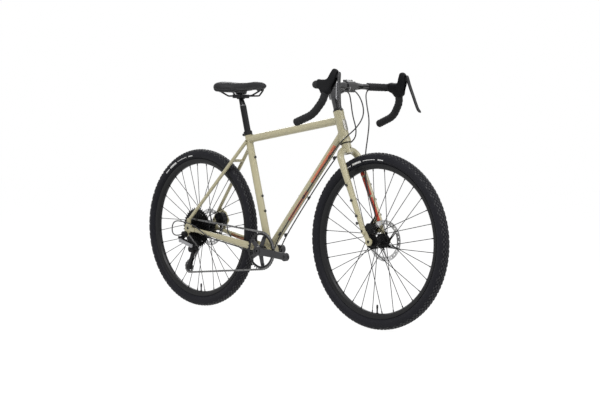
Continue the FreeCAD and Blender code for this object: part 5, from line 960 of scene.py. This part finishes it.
# Bolts as (forward, height): on the outside of both fork legs and on the front of the seat tube
LEG_BOLTS = ((406.1, 553.0), (432.5, 495.4), (459.3, 436.9))
LEG_BOLT_SIDE = 68.0
SEAT_BOLTS = ((-129.3, 490.9), (-112.2, 429.2), (-173.7, 650.8))
CAP_RADIUS = 5.4
CAP_HEIGHT = 4.2
POST_RING = SHELL + SEAT_UP * 618.0
TIE_PLACE = BAR_CENTRE + Vector((45, -44, -13))
TIE_AXIS = Vector((0.62, 0.76, -0.2))


def knob(place, out, radius, height):
    """A domed round head on a short collar."""
    first = out.orthogonal().normalized()
    second = out.cross(first)
    return loft([circle(place + out * (height * level), first, second, radius * share, KNOB_SIDES)
                 for share, level in KNOB_SHARES])


def fork_boss():
    """A boss low on the right leg, turned back from straight outward."""
    angle = radians(BOSS_ANGLE)
    out = RIGHT * cos(angle) + LEG_AHEAD * sin(angle)
    middle = LEG_TOP.lerp(LEG_FOOT, BOSS_SHARE)
    middle.y = -middle.y
    return knob(middle + out * (BOSS_REACH - LEG_TAPER * BOSS_SHARE), out, BOSS_RADIUS, BOSS_HEIGHT)


leg_caps = join([knob(Vector((x, side * LEG_BOLT_SIDE, z)), LEFT * side, CAP_RADIUS, CAP_HEIGHT)
                 for x, z in LEG_BOLTS for side in (1, -1)])
seat_caps = join([knob(Vector((x, 0, z)) - SEAT_FRONT, SEAT_FRONT, CAP_RADIUS, CAP_HEIGHT)
                  for x, z in SEAT_BOLTS])
for name, shape, body in (("fork_boss", fork_boss(), "fork"), ("leg_bolt_caps", leg_caps, "fork"),
                          ("seat_bolt_caps", seat_caps, "frame")):
    shaped(name, shape, PLASTIC, body, sharp_over=EDGE_CREASE)
ring_shape = band(POST_RING, SEAT_UP, radius=13.5, half_height=1.0, thickness=0.5)
shaped("post_ring", ring_shape, SILVER, "seat")
tie_shape = band(TIE_PLACE, TIE_AXIS, radius=6.0, half_height=1.1, thickness=0.8)
shaped("cable_tie", tie_shape, NYLON, "fork")

# Saddle: a padded cover, swelled by a cloth simulation, on a base with sockets for the rails
# Heights and half widths along the saddle, by share of its length from the nose
SADDLE_NOSE = -109.0
SADDLE_LENGTH = 276.0
SADDLE_TOP = [(0, 951), (0.04, 958), (0.10, 962), (0.22, 963), (0.45, 959.5), (0.6, 959.5), (0.75, 963),
              (0.9, 966.5), (1, 963)]
SADDLE_HALF = [(0, 4), (0.03, 11), (0.12, 17.5), (0.30, 21), (0.48, 29), (0.64, 48), (0.80, 68), (0.92, 69),
               (0.985, 50), (1, 30)]
SADDLE_SKIRT = [(0, 943), (0.04, 936), (0.11, 931), (0.3, 928), (0.5, 925), (0.64, 920), (0.75, 919),
                (0.88, 923), (1, 934)]
# Half section of the cover: shares of the half width, with drops from the top and rises from the skirt
COVER_CROWN = ((0.0, 0.0), (0.28, 0.3), (0.5, 1.2), (0.68, 3.0), (0.82, 5.6), (0.93, 10.0))
COVER_HEM = ((0.98, 3), (0.92, 0), (0.80, 2), (0.5, 5), (0.0, 6))
COVER_SHRINK = 1.6
COVER_LEAST_HALF = 3.0
COVER_RINGS = 60
COVER_SPAN_SHARES = (0.004, 0.992)
PUFF_FRAMES = 20
PUFF_CAP = 2.2
CURVE_FINENESS = 8


def smooth_value(keys, value):
    """A value read from a smooth curve through (place, amount) pairs."""
    line = smooth_line([Vector(key) for key in keys], CURVE_FINENESS)
    return straight([(point.x, point.y) for point in line], value)


def saddle_x(share):
    return SADDLE_NOSE - SADDLE_LENGTH * share


def saddle_ring(share):
    top = eased(SADDLE_TOP, share) - COVER_SHRINK
    half = max(COVER_LEAST_HALF, smooth_value(SADDLE_HALF, share) - COVER_SHRINK)
    skirt = eased(SADDLE_SKIRT, share)
    section = [(out, top - drop) for out, drop in COVER_CROWN] + [(1.0, (top + skirt) / 2)]
    section += [(out, skirt + rise) for out, rise in COVER_HEM]
    section += [(-out, height) for out, height in reversed(section[1:-1])]
    return [Vector((saddle_x(share), half * out, height)) for out, height in section]


cover_start, cover_span = COVER_SPAN_SHARES
cover_shares = [cover_start + cover_span * (index / COVER_RINGS) for index in range(COVER_RINGS + 1)]
cover_rings = [saddle_ring(share) for share in cover_shares]
saddle = shaped("saddle_pad", loft(cover_rings), COVER, None)
skin = saddle.modifiers.new("skin", "REMESH")
skin.mode = "VOXEL"
skin.voxel_size = 4.0 * MM
settled(saddle)
rest_places = [vertex.co.copy() for vertex in saddle.data.vertices]
puff = saddle.modifiers.new("puff", "CLOTH")
puff.settings.use_pressure = True
puff.settings.uniform_pressure_force = 4.0
puff.settings.effector_weights.gravity = 0.0
puff.settings.tension_stiffness = 40.0
puff.point_cache.frame_start = 1
puff.point_cache.frame_end = PUFF_FRAMES
for number in range(1, PUFF_FRAMES + 1):
    scene.frame_set(number)
settled(saddle)
scene.frame_set(1)
for vertex, place in zip(saddle.data.vertices, rest_places):
    moved = vertex.co - place
    if moved.length > PUFF_CAP * MM:
        vertex.co = place + moved.normalized() * (PUFF_CAP * MM)
calm = saddle.modifiers.new("calm", "SMOOTH")
calm.factor = 0.5
calm.iterations = 3
finer = saddle.modifiers.new("finer", "SUBSURF")
finer.levels = 1
settled(saddle)
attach(saddle, "seat")
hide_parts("saddle")

# Saddle base, with a socket for each end of the rails and a boss over the clamp
BASE_WIDTH_SHARE = 0.88
BASE_SPAN_SHARES = (0.07, 0.90)
BASE_RINGS = 50
# Section of the base: shares of the half width, and rises from the skirt
BASE_SECTION = ((-1.0, 7.0), (-0.97, 3.4), (-0.86, 1.6), (-0.4, 1.0), (0.4, 1.0), (0.86, 1.6), (0.97, 3.4),
                (1.0, 7.0))
# Sockets: place forward and sideways, lowest and highest level, half length, half width
RAIL_SOCKETS = ((-147.0, 9.0, 923.5, 936.0, 9.0, 5.8), (-348.0, 34.0, 921.0, 934.0, 11.0, 7.5))
CLAMP_BOSS = (-264.0, 0.0, 912.4, 930.0, 24.0, 16.0)
# Levels of a socket: rises from its lowest, with shares of its size there and at its highest
SOCKET_STEPS = ((0.0, 0.70), (1.2, 0.90), (3.0, 1.0))
SOCKET_TOP_SHARE = 1.12
SOCKET_SIDES = 20
SOCKET_ROUNDING = 0.5


def base_ring(share):
    bottom = eased(SADDLE_SKIRT, share)
    half = smooth_value(SADDLE_HALF, share) * BASE_WIDTH_SHARE
    return [Vector((saddle_x(share), half * out, bottom + rise)) for out, rise in BASE_SECTION]


def socket_block(x, y, low, high, half_length, half_width):
    """A rounded block that widens upwards."""
    rings = []
    for z, share in [(low + rise, share) for rise, share in SOCKET_STEPS] + [(high, SOCKET_TOP_SHARE)]:
        rings.append([Vector((x + along * half_length * share, y + out * half_width * share, z))
                      for along, out in squared(SOCKET_SIDES, SOCKET_ROUNDING)])
    return loft(rings)


base_start, base_span = BASE_SPAN_SHARES
base_rings = [base_ring(base_start + base_span * index / BASE_RINGS) for index in range(BASE_RINGS + 1)]
base_parts = [loft(base_rings)]
base_parts += [socket_block(x, sign * y, *sizes) for sign in (1, -1) for x, y, *sizes in RAIL_SOCKETS]
base_parts.append(socket_block(*CLAMP_BOSS))
base = shaped("saddle_base", join(base_parts), PLASTIC, "seat", sharp_over=EDGE_CREASE)
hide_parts("saddle_shell")

# Sewn edge of the cover
SEAM_STITCHES = 96
SEAM_SPAN_SHARES = (0.02, 0.96)
SEAM_RISE_SHARE = 0.26
SEAM_AIM = 12.0
SEAM_RADIUS = 0.75
SEAM_RIPPLE = 0.22
RIPPLE_TURN = 2.1
SEAM_SIDES = 8


def seam_place(share, sign):
    """The cover's nearest place, and its normal, to a point beside it."""
    top = eased(SADDLE_TOP, share)
    skirt = eased(SADDLE_SKIRT, share)
    aim = Vector((saddle_x(share), sign * (smooth_value(SADDLE_HALF, share) + SEAM_AIM),
                  skirt + (top - skirt) * SEAM_RISE_SHARE))
    found = saddle.closest_point_on_mesh(aim * MM)
    return found[1] / MM, found[2]


def seam(sign):
    start, span = SEAM_SPAN_SHARES
    row = [seam_place(start + span * index / SEAM_STITCHES, sign) for index in range(SEAM_STITCHES + 1)]
    rings = []
    for index, (place, normal) in enumerate(row):
        heading = (row[min(index + 1, SEAM_STITCHES)][0] - row[max(index - 1, 0)][0]).normalized()
        other = heading.cross(normal).normalized()
        thick = SEAM_RADIUS + SEAM_RIPPLE * sin(index * RIPPLE_TURN)
        rings.append(circle(place, normal, other, thick, SEAM_SIDES))
    return loft(rings)


shaped("saddle_seam", join([seam(1), seam(-1)]), THREAD, "seat")

# Light: a white surround, dimmer for what it lights than for what sees it, and three lamps, in metres
AMBIENT = 0.40
PURE_WHITE = (1.0, 1.0, 1.0, 1.0)
# Lamps: place, target, width and height, power
LAMPS = {
    "key": ((1.2, -2.8, 3.8), (0.0, 0.0, 0.5), (2.6, 1.6), 115.0),
    "fill": ((3.4, 0.6, 2.4), (0.2, 0.0, 0.5), (2.0, 2.0), 40.0),
    "rim": ((-2.6, 2.4, 2.8), (-0.2, 0.0, 0.5), (2.4, 1.6), 40.0),
}
scene.view_settings.view_transform = "Standard"
world = bpy.data.worlds.new("studio")
scene.world = world
world.use_nodes = True
sky = world.node_tree
sky.nodes.clear()
ray = add_node(sky, "ShaderNodeLightPath").outputs
shiny = larger(sky, ray["Is Glossy Ray"], ray["Is Transmission Ray"])
seen = larger(sky, ray["Is Camera Ray"], shiny)
level = add_node(sky, "ShaderNodeMapRange", {"Value": seen}, {"To Min": AMBIENT, "To Max": 1.0})
glow = add_node(sky, "ShaderNodeBackground", {"Strength": level.outputs["Result"]}, {"Color": PURE_WHITE})
add_node(sky, "ShaderNodeOutputWorld", {"Surface": glow.outputs["Background"]})

for name, (place, target, size, power) in LAMPS.items():
    lamp_data = bpy.data.lights.new(name, "AREA")
    lamp_data.shape = "RECTANGLE"
    lamp_data.size, lamp_data.size_y = size
    lamp_data.energy = power
    lamp = add_object(name, lamp_data)
    lamp.location = place
    lamp.rotation_euler = (Vector(target) - Vector(place)).to_track_quat("-Z", "Y").to_euler()

# Floor: white to the eye and in reflections, grey for the light it throws back
FLOOR_REACH = 14.0
FLOOR_WHITE_SHARE = 0.88
FLOOR_GLOW = 1.09
FLOOR_GREY = (0.82, 0.82, 0.82, 1.0)
floor_mesh = bpy.data.meshes.new("floor")
corners = [(x * FLOOR_REACH, y * FLOOR_REACH, 0) for x, y in ((-1, -1), (1, -1), (1, 1), (-1, 1))]
floor_mesh.from_pydata(corners, [], [(0, 1, 2, 3)])
floor = add_object("floor", floor_mesh)
ground = bpy.data.materials.new("floor_white")
ground.use_nodes = True
tree = ground.node_tree
tree.nodes.clear()
ray = add_node(tree, "ShaderNodeLightPath").outputs
eye = larger(tree, ray["Is Camera Ray"], ray["Is Glossy Ray"])
amount = add_node(tree, "ShaderNodeMath", {0: eye}, {1: FLOOR_WHITE_SHARE}, "MULTIPLY")
matt = add_node(tree, "ShaderNodeBsdfDiffuse", values={"Color": FLOOR_GREY})
white = add_node(tree, "ShaderNodeEmission", values={"Color": PURE_WHITE, "Strength": FLOOR_GLOW})
mix = add_node(tree, "ShaderNodeMixShader", {
    "Fac": amount.outputs[0], 1: matt.outputs["BSDF"], 2: white.outputs["Emission"]})
add_node(tree, "ShaderNodeOutputMaterial", {"Surface": mix.outputs["Shader"]})
floor_mesh.materials.append(ground)
